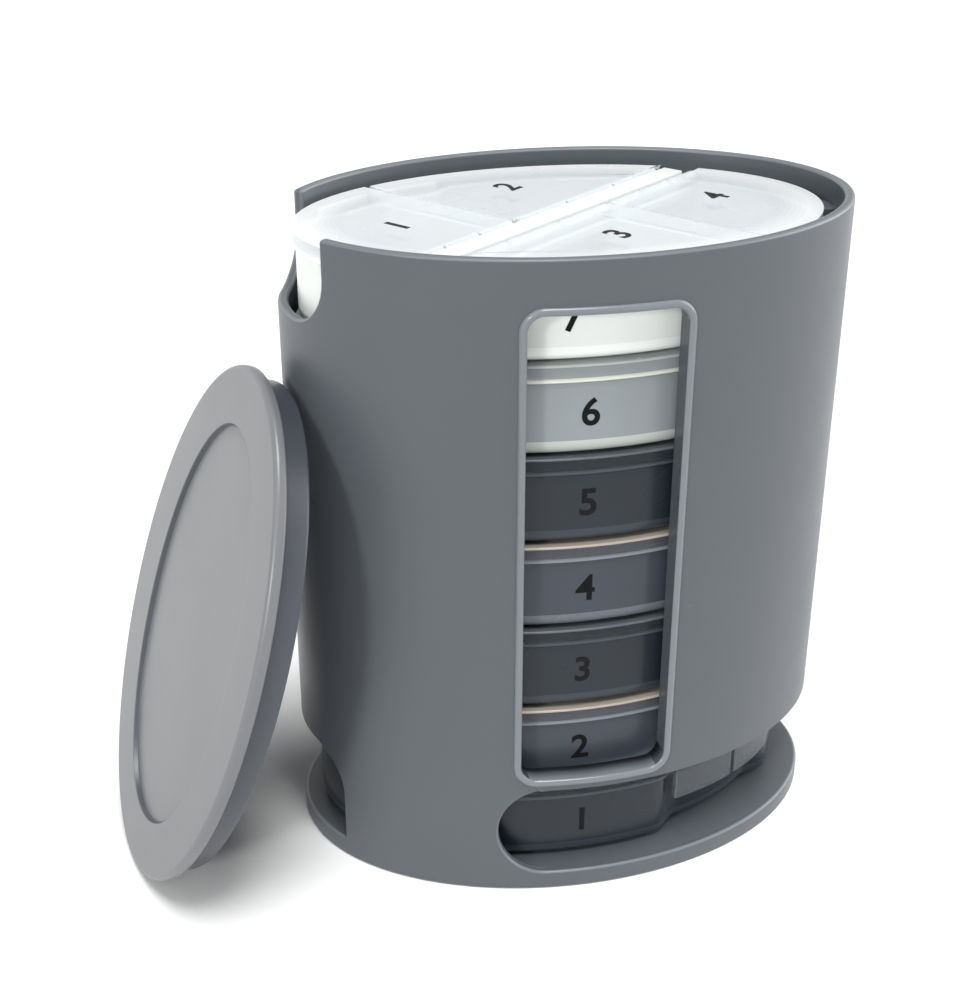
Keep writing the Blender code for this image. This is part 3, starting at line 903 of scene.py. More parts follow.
@dataclass
class Case:
    """The grey case: wall with its openings, base plate, window frame and guide rib.

    The window is given by its left, right, bottom and top, and the rib by its face, half its
    width, its bottom and its top. A face of the flat wall belongs to a rounding, which gets a
    painted highlight, if its normal's share along Y lies between the two of round_faces. A face
    of the frame's tunnel gets painted shade if its normal's share along X passes frame_side.
    """

    long: float = 54.0
    short: float = 36.8
    height: float = 128.8
    wall: float = 1.95
    base: float = 4.0
    base_inset: float = 0.15
    base_sides: int = 216
    edge: float = 0.6
    edge_steps: int = 4
    round_faces: tuple[float, float] = (0.05, 0.98)
    slot_turn: float = 113.1
    slot_top: float = 23.6
    end_turn: float = 26.1
    notch_bottom: float = 112.5
    end_corner: float = 9.0
    window: tuple[float, float, float, float] = (-17.0, 10.9, 26.2, 119.1)
    window_corner: float = 3.0
    frame_width: float = 1.5
    frame_rise: float = 0.6
    frame_depth: float = 3.95
    frame_edge: float = 0.72
    frame_edge_steps: int = 5
    frame_cover: float = 3.0
    frame_side: float = 0.5
    rib: tuple[float, float, float, float] = (48.7, 3.0, 26.0, 124.0)
    rib_sink: float = 0.3
    rib_edge: float = 0.4
    strip: float = 1.2

    def __post_init__(self) -> None:
        """Keep the wall's outline and length, and the height of the openings' foot, at hand."""
        self.oval = Oval(self.long, self.short)
        self.length = self.oval.length_at(self.oval.seam + 360)
        self.ledge = self.base - HAIR

    def front_length(self, x: float) -> float:
        """Length from the seam to a place on the front, by its X."""
        return self.oval.length_at(360.0 - math.degrees(math.acos(x / self.long)))

    def window_block(self, grown: float, low: float, high: float) -> Shape:
        """Make a rounded block over the window, on the flat wall.

        Args:
            grown: How far it reaches past the window's sides.
            low: Where along Y it starts.
            high: Where it ends.

        Returns:
            The block.
        """
        left, right, bottom, top = self.window
        return rounded_block(
            (self.front_length(left - grown), low, bottom - grown),
            (self.front_length(right + grown), high, top + grown),
            self.window_corner + grown,
        )

    def end_hole(self, bottom: float, top: float, round_at_top: bool) -> Shape:
        """Make the cutter for the push hole or the finger notch, on the flat wall.

        Args:
            bottom: The hole's foot.
            top: Its upper edge.
            round_at_top: Whether its upper corners are rounded, and not the lower ones.

        Returns:
            The cutter.
        """
        reach = self.wall * 2
        low = (self.oval.length_at(180 - self.end_turn), -reach, bottom)
        high = (self.oval.length_at(180 + self.end_turn), reach, top)
        edge = top if round_at_top else bottom
        return rounded_block(low, high, self.end_corner, lambda p: abs(p.z - edge) < HAIR)

    def cutters(self) -> list[Shape]:
        """Make the cutters for the openings in the flat wall.

        Returns:
            Those of the push hole, the finger notch, the slot and the window.
        """
        reach = self.wall * 2
        slot = rounded_block(
            (self.oval.length_at(360 - self.slot_turn), -reach, self.ledge),
            (self.oval.length_at(360 + self.slot_turn), reach, self.slot_top),
            (self.slot_top - self.ledge) / 2 - HAIR,
        )
        return [
            self.end_hole(self.ledge, self.slot_top, True),
            self.end_hole(self.notch_bottom, self.height + reach, False),
            slot,
            self.window_block(self.frame_width / 2, -reach, reach),
        ]

    def shows(self, a: Vector, b: Vector) -> bool:
        """Say whether an edge of the flat wall is one that a hand could feel.

        Args:
            a: One end of the edge.
            b: The other end.

        Returns:
            Whether it is, and so gets rounded.
        """
        left, right, bottom, top = self.window
        cover = self.frame_cover
        if max(a.x, b.x) < 0 or min(a.x, b.x) > self.length:
            return False
        across = self.front_length(left - cover) < a.x < self.front_length(right + cover)
        if across and bottom - cover < a.z < top + cover:
            return False
        inner = min(a.y, b.y) > self.wall - HAIR
        upright = abs(a.y - b.y) > HAIR
        at_ledge = max(abs(a.z - self.ledge), abs(b.z - self.ledge)) < HAIR
        return not (at_ledge and (inner or upright)) and not (inner and max(a.z, b.z) < HAIR)

    def wall_sheet(self) -> Shape:
        """Make the wall flat, cut its openings, round their edges and bend it round.

        Returns:
            The wall.
        """
        spare = self.strip * 3
        flat = block((-spare, 0, 0), (self.length + spare, self.wall, self.height))
        sheet = carve(flat, self.cutters())
        # Painted highlight on the roundings' faces, which the case's finish paints paler
        glow = sheet.faces.layers.float.new("glow")
        edges = corners_where(sheet, self.shows)
        round_edges(sheet, edges, self.edge, self.edge_steps, clamp=False)
        sheet.normal_update()
        for face in sheet.faces:
            if self.round_faces[0] < abs(face.normal.y) < self.round_faces[1]:
                face[glow] = 1.0
        for end, onward in ((0.0, -1.0), (self.length, 1.0)):
            cut_plane(sheet, (end, 0, 0), (onward, 0, 0), drop_outer=True)
        slice_along(sheet, 0, self.length, self.strip)
        self.oval.wrap(sheet)
        return sheet

    def window_frame(self) -> Shape:
        """Make the window's raised, rounded frame and its tunnel.

        Returns:
            The frame.
        """
        left, right = self.window[:2]
        wide = self.frame_width
        reach = self.frame_depth * 2
        outer = self.window_block(wide, -self.frame_rise, self.frame_depth)
        ring = carve(outer, [self.window_block(0.0, -reach, reach)])
        dim = ring.faces.layers.float.new("dim")
        rim = corners_where(ring, lambda a, b: max(a.y, b.y) < HAIR - self.frame_rise)
        round_edges(ring, rim, self.frame_edge, self.frame_edge_steps, clamp=False)
        # Painted shade: the tunnel's sides, which look along X, are painted darker than its top
        # and foot, as less light falls on them
        for face in ring.faces:
            if abs(face.normal.x) > self.frame_side and face.calc_center_median().y > 0:
                face[dim] = 1.0
        low, high = self.front_length(left - wide), self.front_length(right + wide)
        slice_along(ring, low, high, self.strip)
        self.oval.wrap(ring, straight=True)
        return ring

    def base_plate(self) -> Shape:
        """Make the oval plate inside the foot of the wall.

        Returns:
            The plate.
        """
        bm = bmesh.new()
        bmesh.ops.create_circle(bm, cap_ends=True, segments=self.base_sides, radius=1.0)
        inset = self.edge + self.base_inset
        bmesh.ops.scale(bm, vec=(self.long - inset, self.short - inset, 1), verts=bm.verts)
        bmesh.ops.translate(bm, vec=(0, 0, HAIR), verts=bm.verts)
        thicken(bm, self.base - HAIR)
        return bm

    def guide_rib(self) -> Shape:
        """Make the rib inside the slot's end.

        Returns:
            The rib, its back sunk in the wall.
        """
        face, half, bottom, top = self.rib
        back = self.long - self.wall + self.rib_sink
        bm = block((face, -half, bottom), (back, half, top))
        round_edges(bm, bm.edges[:], self.rib_edge, FEW_STEPS)
        return bm

    def build(self) -> None:
        """Build the case and put it in the scene."""
        parts = [self.wall_sheet(), self.base_plate(), self.guide_rib()]
        for bm in parts[1:]:
            note_normals(bm)
        mesh = as_mesh(parts, "case_shell")
        place_piece(mesh, "case_shell", "case", Finish.CASE, "case")
        mesh = as_mesh([self.window_frame()], "case_window_frame")
        place_piece(mesh, "case_window_frame", "case", Finish.FRAME)


# Trays


@dataclass
class TrayShape:
    """Shape that the seven trays share, in a frame whose origin is under the tray's middle.

    The spine runs across the tray at spine_angle. It carries a seat for the lids and, on that,
    a rail for their hinges. The bead round the rim starts, swells, is full and rounds over at
    bead_levels under the rim's top. Four shares say how much painted shade the left, back, front
    and right compartments get, growing with depth; the foot's rounding and the bead's shoulder get
    a painted highlight.
    """

    long: float = 49.7
    short: float = 32.4
    shift: float = -1.3
    height: float = 17.15
    wall_top: float = 14.35
    setback: float = 0.7
    wall: float = 1.3
    floor: float = 1.3
    floor_round: float = 2.0
    floor_round_middle: float = 0.6
    foot_round: float = 2.2
    foot_steps: int = 4
    foot_pale: float = 2.8
    foot_glow: float = 0.5
    spine_angle: float = 38.0
    spine_wall: float = 1.4
    spine_drop: float = 0.3
    slab_edge: float = 0.2
    rail_half: float = 2.15
    rail_foot: float = 0.4
    seat_half: float = 5.3
    seat_depth: float = 1.4
    seat_end: float = 0.6
    rail_end: float = 1.4
    divider_offset: float = 10.0
    divider_wall: float = 1.4
    scoop_depth: float = 3.0
    scoop_half: float = 19.4
    scoop_blend: float = 9.0
    rim_top: float = 14.6
    rim_edge: float = 0.2
    rim_bead: float = 0.45
    bead_swell: float = 0.1
    bead_levels: tuple[float, float, float, float] = (1.1, 0.85, 0.7, 0.25)
    dims: tuple[float, float, float, float] = (0.45, 1.0, 0.15, 1.0)
    sides: int = 240

    def __post_init__(self) -> None:
        """Work out the spine's directions."""
        angle = math.radians(self.spine_angle)
        self.along = Vector((math.cos(angle), math.sin(angle), 0.0))
        self.across = Vector((-self.along.y, self.along.x, 0.0))
        self.oval = Oval(self.long, self.short)

    def turn_along(self, bm: Shape) -> None:
        """Turn a shape that was made along X, so that it lies along the spine."""
        turn = Matrix.Rotation(math.radians(self.spine_angle), 3, "Z")
        bmesh.ops.rotate(bm, matrix=turn, verts=bm.verts)

    def rim_turn(self, direction: Vector, start: Vector) -> float:
        """Find where a ray meets the rim.

        Args:
            direction: The ray's direction.
            start: Where it starts.

        Returns:
            The oval's parameter there, in degrees.
        """
        sx, sy = start.x / self.long, start.y / self.short
        dx, dy = direction.x / self.long, direction.y / self.short
        a = dx * dx + dy * dy
        b = sx * dx + sy * dy
        reach = (-b + math.sqrt(b * b - a * (sx * sx + sy * sy - 1.0))) / a
        return math.degrees(math.atan2(sy + reach * dy, sx + reach * dx))

    def reach(self, direction: Vector, start: Vector, inset: float) -> float:
        """Distance from a start point to the rim, less an inset."""
        return (self.oval.point(self.rim_turn(direction, start)) - start).length - inset

    def divider_turn(self) -> float:
        """Oval parameter of the outer end of the divider at the back."""
        return self.rim_turn(self.across, self.along * -self.divider_offset)

    def scoop(self, turn: float) -> float:
        """Say how far the wall is drawn in for a finger.

        Args:
            turn: The oval's parameter, in degrees.

        Returns:
            The inset, which starts and ends softly.
        """
        inset = 0.0
        for centre in (self.divider_turn(), self.divider_turn() + 180):
            away = abs((turn - centre + 180) % 360 - 180)
            share = (self.scoop_half + self.scoop_blend / 2 - away) / self.scoop_blend
            share = min(max(share, 0.0), 1.0)
            inset += self.scoop_depth * share * share * (3 - 2 * share)
        return inset

    def dimness(self, point: Vector) -> float:
        """How much painted shade a place inside the tray gets, from 0 to 1.

        Args:
            point: The place, in the tray's frame.

        Returns:
            More for deeper places, and for the compartments that less light reaches.
        """
        depth = min(max((self.wall_top - point.z) / (self.wall_top - self.floor), 0.0), 1.0)
        place = point.dot(self.along)
        if point.dot(self.across) > 0:
            return depth * self.dims[0 if place < -self.divider_offset else 1]
        return depth * self.dims[3 if place > self.divider_offset else 2]

    def outside(self) -> list[Point]:
        """Work out the shell's profile up its outside, from the foot to the top of the rim.

        Returns:
            Inset, height and painted highlight of the faces up to there, for each ring.
        """
        out, top = self.setback, self.rim_top
        bead = out - self.rim_bead
        start, swell, full, shoulder = (top - level for level in self.bead_levels)
        # The foot's points lie on whole hundredths of a millimetre
        points = quarter_round(self.foot_round, self.foot_steps)
        foot = [(out + round(inset, 2), round(rise, 2), self.foot_glow) for inset, rise in points]
        return [
            *foot,
            (out, self.foot_pale, self.foot_glow),
            (out, start, 0.0),
            (bead + self.bead_swell, swell, 0.0),
            (bead, full, 0.0),
            (bead, shoulder, 1.0),
            (bead + self.rim_edge, top, 1.0),
            (out + self.wall - self.rim_edge, top, 0.0),
        ]

    def inside(self) -> list[Point]:
        """Work out the shell's profile down its inside.

        Returns:
            Inset, height and painted highlight of the faces up to there, for each ring.
        """
        inn, low, middle = self.setback + self.wall, self.floor, self.floor_round_middle
        return [
            (inn, self.rim_top - self.rim_edge, 0.0),
            (inn, low + self.floor_round, 0.0),
            (inn + middle, low + middle, 0.0),
            (inn + self.floor_round, low, 0.0),
        ]

    def shell(self) -> Shape:
        """Make the open shell by drawing its outline up the outside and down inside.

        Returns:
            The shell.
        """
        bm = bmesh.new()
        layer = bm.verts.layers.float.new("turn")
        # Painted shade inside, by depth and compartment, and painted highlight on the foot and
        # bead
        dim = bm.verts.layers.float.new("dim")
        glow = bm.faces.layers.float.new("glow")
        made = bmesh.ops.create_circle(bm, cap_ends=True, segments=self.sides, radius=1.0)
        for vert in made["verts"]:
            vert[layer] = math.degrees(math.atan2(vert.co.y, vert.co.x))
        insets = {vert[layer]: self.scoop(vert[layer]) for vert in made["verts"]}

        def draw(verts: list[Vert], inset: float, height: float) -> None:
            """Move a ring to its inset and height.

            Args:
                verts: The ring.
                inset: How far it is drawn in, next to the scoops.
                height: Its height.
            """
            for vert in verts:
                place = self.oval.point(vert[layer], inset + insets[vert[layer]])
                vert.co = (place.x, place.y, height)

        first, *outside = self.outside()
        draw(made["verts"], *first[:2])
        edges = bm.edges[:]
        for is_inside, rings in ((False, outside), (True, self.inside())):
            for inset, height, share in rings:
                verts, edges, faces = grow(bm, edges)
                draw(verts, inset, height)
                for face in faces:
                    face[glow] = share
                for vert in verts if is_inside else ():
                    vert[dim] = self.dimness(vert.co)
        floor = bmesh.ops.contextual_create(bm, geom=edges)["faces"]
        self.part_floor(bm, floor)
        return bm

    def part_floor(self, bm: Shape, floor: list[Face]) -> None:
        """Part the floor at the spine and the dividers, so that each share has its painted shade.

        Args:
            bm: The shell.
            floor: Its floor's face.
        """
        layer = bm.verts.layers.float["dim"]
        half = self.spine_wall / 2 - HAIR
        for point, normal in (
            (Vector(), self.across),
            (self.along * -self.divider_offset, self.along),
            (self.along * self.divider_offset, self.along),
        ):
            for side in (-half, half):
                corners = {v for f in floor for v in f.verts}
                sides = {e for f in floor for e in f.edges}
                geom = [*floor, *sides, *corners]
                floor = cut_plane(bm, point + normal * side, normal, geom=geom)
        for vert in {v for f in floor for v in f.verts}:
            vert[layer] = self.dimness(vert.co)

    def slab(self, low: Point, high: Point) -> Shape:
        """Make a wall in the tray.

        Args:
            low: Its lowest corner: place along the spine, place across it and height.
            high: The corner across from it.

        Returns:
            The wall.
        """
        bm = block(low, high)
        layer = bm.verts.layers.float.new("dim")
        round_edges(bm, bm.edges[:], self.slab_edge, FEW_STEPS)
        self.turn_along(bm)
        # Painted shade on the walls, by depth and compartment
        for vert in bm.verts:
            vert[layer] = self.dimness(vert.co)
        return bm

    def walls(self) -> list[Shape]:
        """Make the walls inside the tray.

        Returns:
            The spine, its seat and its rail, and the two dividers.
        """
        in_wall = self.setback + self.wall / 2
        foot, low = self.floor / 2, self.wall_top - self.seat_depth
        half, seat, rail = self.spine_wall / 2, self.seat_half, self.rail_half
        end = self.reach(self.along, Vector(), in_wall)
        seat_end = min(
            self.reach(self.along, self.across * seat, in_wall),
            self.reach(self.along, self.across * -seat, self.setback + self.seat_end),
        )
        rail_end = self.reach(self.along, self.across * rail, self.rail_end)
        parts = [
            self.slab((-end, -half, foot), (end, half, self.wall_top - self.spine_drop)),
            self.slab((-seat_end, -seat, low), (seat_end, seat, self.wall_top)),
            self.slab((-rail_end, -rail, low + self.rail_foot), (rail_end, rail, self.height)),
        ]
        for side in (1, -1):
            start = self.along * (-side * self.divider_offset)
            far = self.reach(self.across * side, start, in_wall + self.scoop_depth)
            near, far = sorted((side * half, side * far))
            middle = -side * self.divider_offset
            wide = self.divider_wall / 2
            corner = (middle + wide, far, self.wall_top)
            parts.append(self.slab((middle - wide, near, foot), corner))
        return parts

    def build(self) -> bpy.types.Mesh:
        """Make the tray's mesh."""
        return as_mesh([self.shell(), *self.walls()], "tray_shell")


@dataclass
class LidShape:
    """Shape of the two kinds of lid, in the tray's frame.

    Each of the bands round the rim ends at its inset and has its share of painted highlight, so
    that the lid is painted whiter, and is more opaque, near its rim and grows clearer inwards. A
    face of the plate belongs to a rounding, which gets a full painted highlight, if its normal's
    share along Z lies between the two of round_faces.
    """

    tray: TrayShape
    thickness: float = 2.5
    gap: float = 0.2
    corner: float = 2.3
    rim_edge: float = 0.8
    rim_edge_steps: int = 4
    edge: float = 0.35
    edge_steps: int = 3
    round_faces: tuple[float, float] = (0.01, 0.99)
    bands: tuple[tuple[float, float], ...] = (
        (3.0, 0.8),
        (4.0, 0.66),
        (5.0, 0.52),
        (6.0, 0.38),
        (7.0, 0.24),
        (8.0, 0.1),
    )
    hinge_offset: float = 3.6
    barrel: float = 1.15
    barrel_start: float = 1.0
    barrel_end: float = 2.6
    knuckles: int = 3
    knuckle_gap: float = 0.6
    knuckle_edge: float = 0.15
    knuckle_sides: int = 24
    tab_thickness: float = 1.2
    tab_inset: float = 0.05
    tab_bottom: float = 8.3
    tab_drop: float = 1.2
    tab_gap: float = 0.6
    tab_edge: float = 0.3
    tab_glow: float = 0.55
    tab_steps: int = 14

    def disc(self) -> Shape:
        """Make the flat oval disc that the lids are cut from, with a ring for each band.

        Returns:
            The disc.
        """
        long, short = self.tray.long, self.tray.short
        bm = bmesh.new()
        bmesh.ops.create_circle(bm, cap_ends=False, segments=self.tray.sides, radius=1.0)
        bmesh.ops.scale(bm, vec=(long, short, 1), verts=bm.verts)
        edges = bm.edges[:]
        before = 0.0
        for inset, _ in self.bands:
            inner, edges, _ = grow(bm, edges)
            drawn_in = ((long - inset) / (long - before), (short - inset) / (short - before), 1)
            bmesh.ops.scale(bm, vec=drawn_in, verts=inner)
            before = inset
        bmesh.ops.contextual_create(bm, geom=edges)
        bmesh.ops.recalc_face_normals(bm, faces=bm.faces)
        return bm

    def cut_out(self, bm: Shape, is_left: bool) -> None:
        """Cut the disc along the spine and the divider, and take off the corner at the rim.

        Args:
            bm: The disc.
            is_left: Whether the left lid is left of it, and not the back one.
        """
        tray = self.tray
        side = -1 if is_left else 1
        split = tray.along * (-tray.divider_offset + side * self.gap)
        cut_plane(bm, tray.across * self.hinge_offset, tray.across, drop_inner=True)
        cut_plane(bm, split, tray.along, drop_outer=is_left, drop_inner=not is_left)
        tip = tray.oval.point(tray.rim_turn(tray.across, split))
        bmesh.ops.bevel(
            bm,
            geom=[min(bm.verts, key=lambda v: (v.co - tip).length)],
            offset=self.corner,
            offset_type="OFFSET",
            segments=1,
            profile=0.5,
            affect="VERTICES",
            clamp_overlap=False,
            material=-1,
        )
        bmesh.ops.remove_doubles(bm, verts=bm.verts, dist=HAIR)

    def plate(self, is_left: bool) -> Shape:
        """Make the lid's plate, with rounded edges and its bands.

        Args:
            is_left: Whether it is the left lid's, and not the back one's.

        Returns:
            The plate.
        """
        tray = self.tray
        bm = self.disc()
        self.cut_out(bm, is_left)
        bmesh.ops.translate(bm, vec=(0, 0, tray.height - self.thickness), verts=bm.verts)
        thicken(bm, self.thickness)
        bmesh.ops.recalc_face_normals(bm, faces=bm.faces)
        glow = bm.faces.layers.float.new("glow")

        def on_rim(p: Vector) -> bool:
            """Whether a point is on the lid's top, at its oval rim."""
            return p.z > tray.height - HAIR and not tray.oval.holds(p, HAIR)

        rim = corners_where(bm, lambda a, b: on_rim(a) and on_rim(b))
        round_edges(bm, rim, self.rim_edge, self.rim_edge_steps)
        # Painted highlight: rounded faces in full, the top by its band
        upright, level = self.round_faces
        for face in bm.faces:
            if upright < face.normal.z < level:
                face[glow] = 1.0
            elif face.normal.z > level:
                at = face.calc_center_median()
                shares = (share for inset, share in self.bands if not tray.oval.holds(at, inset))
                face[glow] = next(shares, 0.0)
        round_edges(bm, level_corners(bm), self.edge, self.edge_steps, clamp=False)
        return bm

    def barrels(self, is_left: bool) -> list[Shape]:
        """Make the hinge's knuckles.

        Args:
            is_left: Whether they are the left lid's, and not the back one's.

        Returns:
            The knuckles.
        """
        side = -1.0 if is_left else 1.0
        start = self.tray.across * self.hinge_offset
        near = -self.tray.divider_offset + side * self.barrel_start
        far = side * self.tray.reach(self.tray.along * side, start, self.barrel_end)
        low, high = sorted((near, far))
        length = (high - low - self.knuckle_gap * (self.knuckles - 1)) / self.knuckles
        lay_down = Matrix.Rotation(math.radians(90), 3, "Y")
        made = []
        for i in range(self.knuckles):
            bm = bmesh.new()
            bmesh.ops.create_cone(
                bm,
                cap_ends=True,
                segments=self.knuckle_sides,
                radius1=self.barrel,
                radius2=self.barrel,
                depth=length,
            )
            round_edges(bm, level_corners(bm), self.knuckle_edge, FEW_STEPS)
            bmesh.ops.rotate(bm, matrix=lay_down, verts=bm.verts)
            middle = low + length / 2 + i * (length + self.knuckle_gap)
            place = Vector((middle, self.hinge_offset, self.tray.height - self.barrel))
            bmesh.ops.translate(bm, vec=place, verts=bm.verts)
            self.tray.turn_along(bm)
            made.append(bm)
        return made

    def tab(self, is_left: bool) -> Shape:
        """Make the finger tab, bent along the rim.

        Args:
            is_left: Whether it is the left lid's, and not the back one's.

        Returns:
            The tab.
        """
        tray = self.tray
        side = 1 if is_left else -1
        gap = math.degrees(self.tab_gap / (tray.long + tray.short) * 2)
        near = tray.divider_turn() + side * gap
        far = tray.divider_turn() + side * tray.scoop_half
        bm = bmesh.new()
        bmesh.ops.create_grid(bm, x_segments=self.tab_steps, y_segments=1, size=1.0)
        for vert in bm.verts:
            share = (vert.co.x + 1) / 2
            inset = self.tab_inset + (vert.co.y + 1) / 2 * self.tab_thickness
            place = tray.oval.point(near + (far - near) * share, inset)
            vert.co = (place.x, place.y, self.tab_bottom)
        thicken(bm, tray.height - self.tab_bottom - self.tab_drop)
        bmesh.ops.recalc_face_normals(bm, faces=bm.faces)
        glow = bm.faces.layers.float.new("glow")
        # Painted highlight: the tab's faces are painted paler and more opaque, and its rounded
        # edges paler still, as glints
        for face in bm.faces:
            face[glow] = self.tab_glow
        edges = corners_where(bm, lambda a, b: True)
        for face in round_edges(bm, edges, self.tab_edge, FEW_STEPS, clamp=False):
            face[glow] = 1.0
        return bm

    def build(self, is_left: bool) -> bpy.types.Mesh:
        """Make the mesh of the left lid, or of the back one."""
        parts = [self.plate(is_left), *self.barrels(is_left), self.tab(is_left)]
        return as_mesh(parts, "lid_left" if is_left else "lid_back")


@dataclass(frozen=True)
class DayTray:
    """One day's tray: its number, its finishes, its slots' names and the X of its print."""

    number: int
    tray: Finish
    lid: Finish
    ink: Finish
    slot: str
    lid_slot: str
    label_x: float = -4.5


DAYS = (
    DayTray(1, Finish.TRAY_DARK, Finish.LID_DARK, Finish.INK_FAINT, "tray_dark", "lid_grey", -3.6),
    DayTray(2, Finish.TRAY_MIDDLE, Finish.LID_MIDDLE, Finish.INK, "tray_middle", "lid_grey"),
    DayTray(3, Finish.TRAY_DARK, Finish.LID_DARK, Finish.INK_FAINT, "tray_dark", "lid_grey"),
    DayTray(4, Finish.TRAY_MIDDLE, Finish.LID_MIDDLE, Finish.INK, "tray_middle", "lid_grey"),
    DayTray(5, Finish.TRAY_DARK, Finish.LID_DARK, Finish.INK_FAINT, "tray_dark", "lid_grey"),
    DayTray(6, Finish.TRAY_LIGHT, Finish.LID_LIGHT, Finish.INK, "tray_light", "lid_frost"),
    DayTray(7, Finish.TRAY_WHITE, Finish.LID_WHITE, Finish.INK, "tray_white", "lid_frost", -8.0),
)


@dataclass
class TrayStack:
    """The seven trays with their lids and numbers."""

    shape: TrayShape
    lid: LidShape
    bottom: float = 4.3
    pitch: float = 17.45
    label_height: float = 5.3
    label_level: float = 8.1
    lid_label_height: float = 5.4
    lid_label_places: tuple[tuple[Place, float, float], ...] = (
        (Place.LEFT, -32.4, -2.2),
        (Place.BACK, -7.0, 18.2),
        (Place.FRONT, 4.2, -16.2),
        (Place.RIGHT, 29.5, 3.0),
    )

    def lift(self, number: int) -> Vector:
        """Place of a tray's frame, in metres."""
        return Vector((self.shape.shift, 0, self.bottom + (number - 1) * self.pitch)) * MM

    def front_label(self, day: DayTray) -> bpy.types.Mesh:
        """Make a tray's number, bent round its front wall.

        Args:
            day: The tray's day.

        Returns:
            The number, in the tray's frame.
        """
        bm = Numeral(str(day.number), self.label_height).flat()
        wall = self.shape
        for vert in bm.verts:
            x = vert.co.x + day.label_x - wall.shift
            bend = math.sqrt(1 - (x / (wall.long - wall.setback)) ** 2)
            face = (wall.short - wall.setback) * bend
            vert.co = (x, -face - vert.co.z, self.label_level + vert.co.y)
        return as_mesh([bm], "number")

    def lid_label(self, place: Place, x: float, y: float) -> bpy.types.Mesh:
        """Make a lid's number, lying on its top and turned along the spine.

        Args:
            place: The lid's place.
            x: X of the number's middle, in the case's frame.
            y: Y of its middle.

        Returns:
            The number, in the tray's frame.
        """
        bm = Numeral(place.number, self.lid_label_height).flat()
        self.shape.turn_along(bm)
        middle = (x - self.shape.shift, y, self.shape.height)
        bmesh.ops.translate(bm, vec=middle, verts=bm.verts)
        return as_mesh([bm], "lid_number")

    def build(self) -> None:
        """Build every tray and put it in the scene."""
        tray_mesh = self.shape.build()
        lid_meshes = {is_left: self.lid.build(is_left) for is_left in (True, False)}
        numbers = {place: self.lid_label(place, x, y) for place, x, y in self.lid_label_places}
        half_turn = Matrix.Rotation(math.pi, 4, "Z")
        for day in DAYS:
            rise = Matrix.Translation(self.lift(day.number))
            body = "tray_%d" % day.number
            mesh = tray_mesh.copy()
            mesh.transform(rise)
            place_piece(mesh, body + "_shell", body, day.tray, body)
            label = self.front_label(day)
            label.transform(rise)
            place_piece(label, body + "_number", body, day.ink)
            for place in Place:
                name = "lid_%d_%s" % (day.number, place.word)
                mesh = lid_meshes[place.is_left].copy()
                mesh.transform(rise @ half_turn if place.is_turned else rise)
                place_piece(mesh, name + "_plate", name, day.lid, name)
                mesh = numbers[place].copy()
                mesh.transform(rise)
                place_piece(mesh, name + "_number", name, day.ink)


# Cap


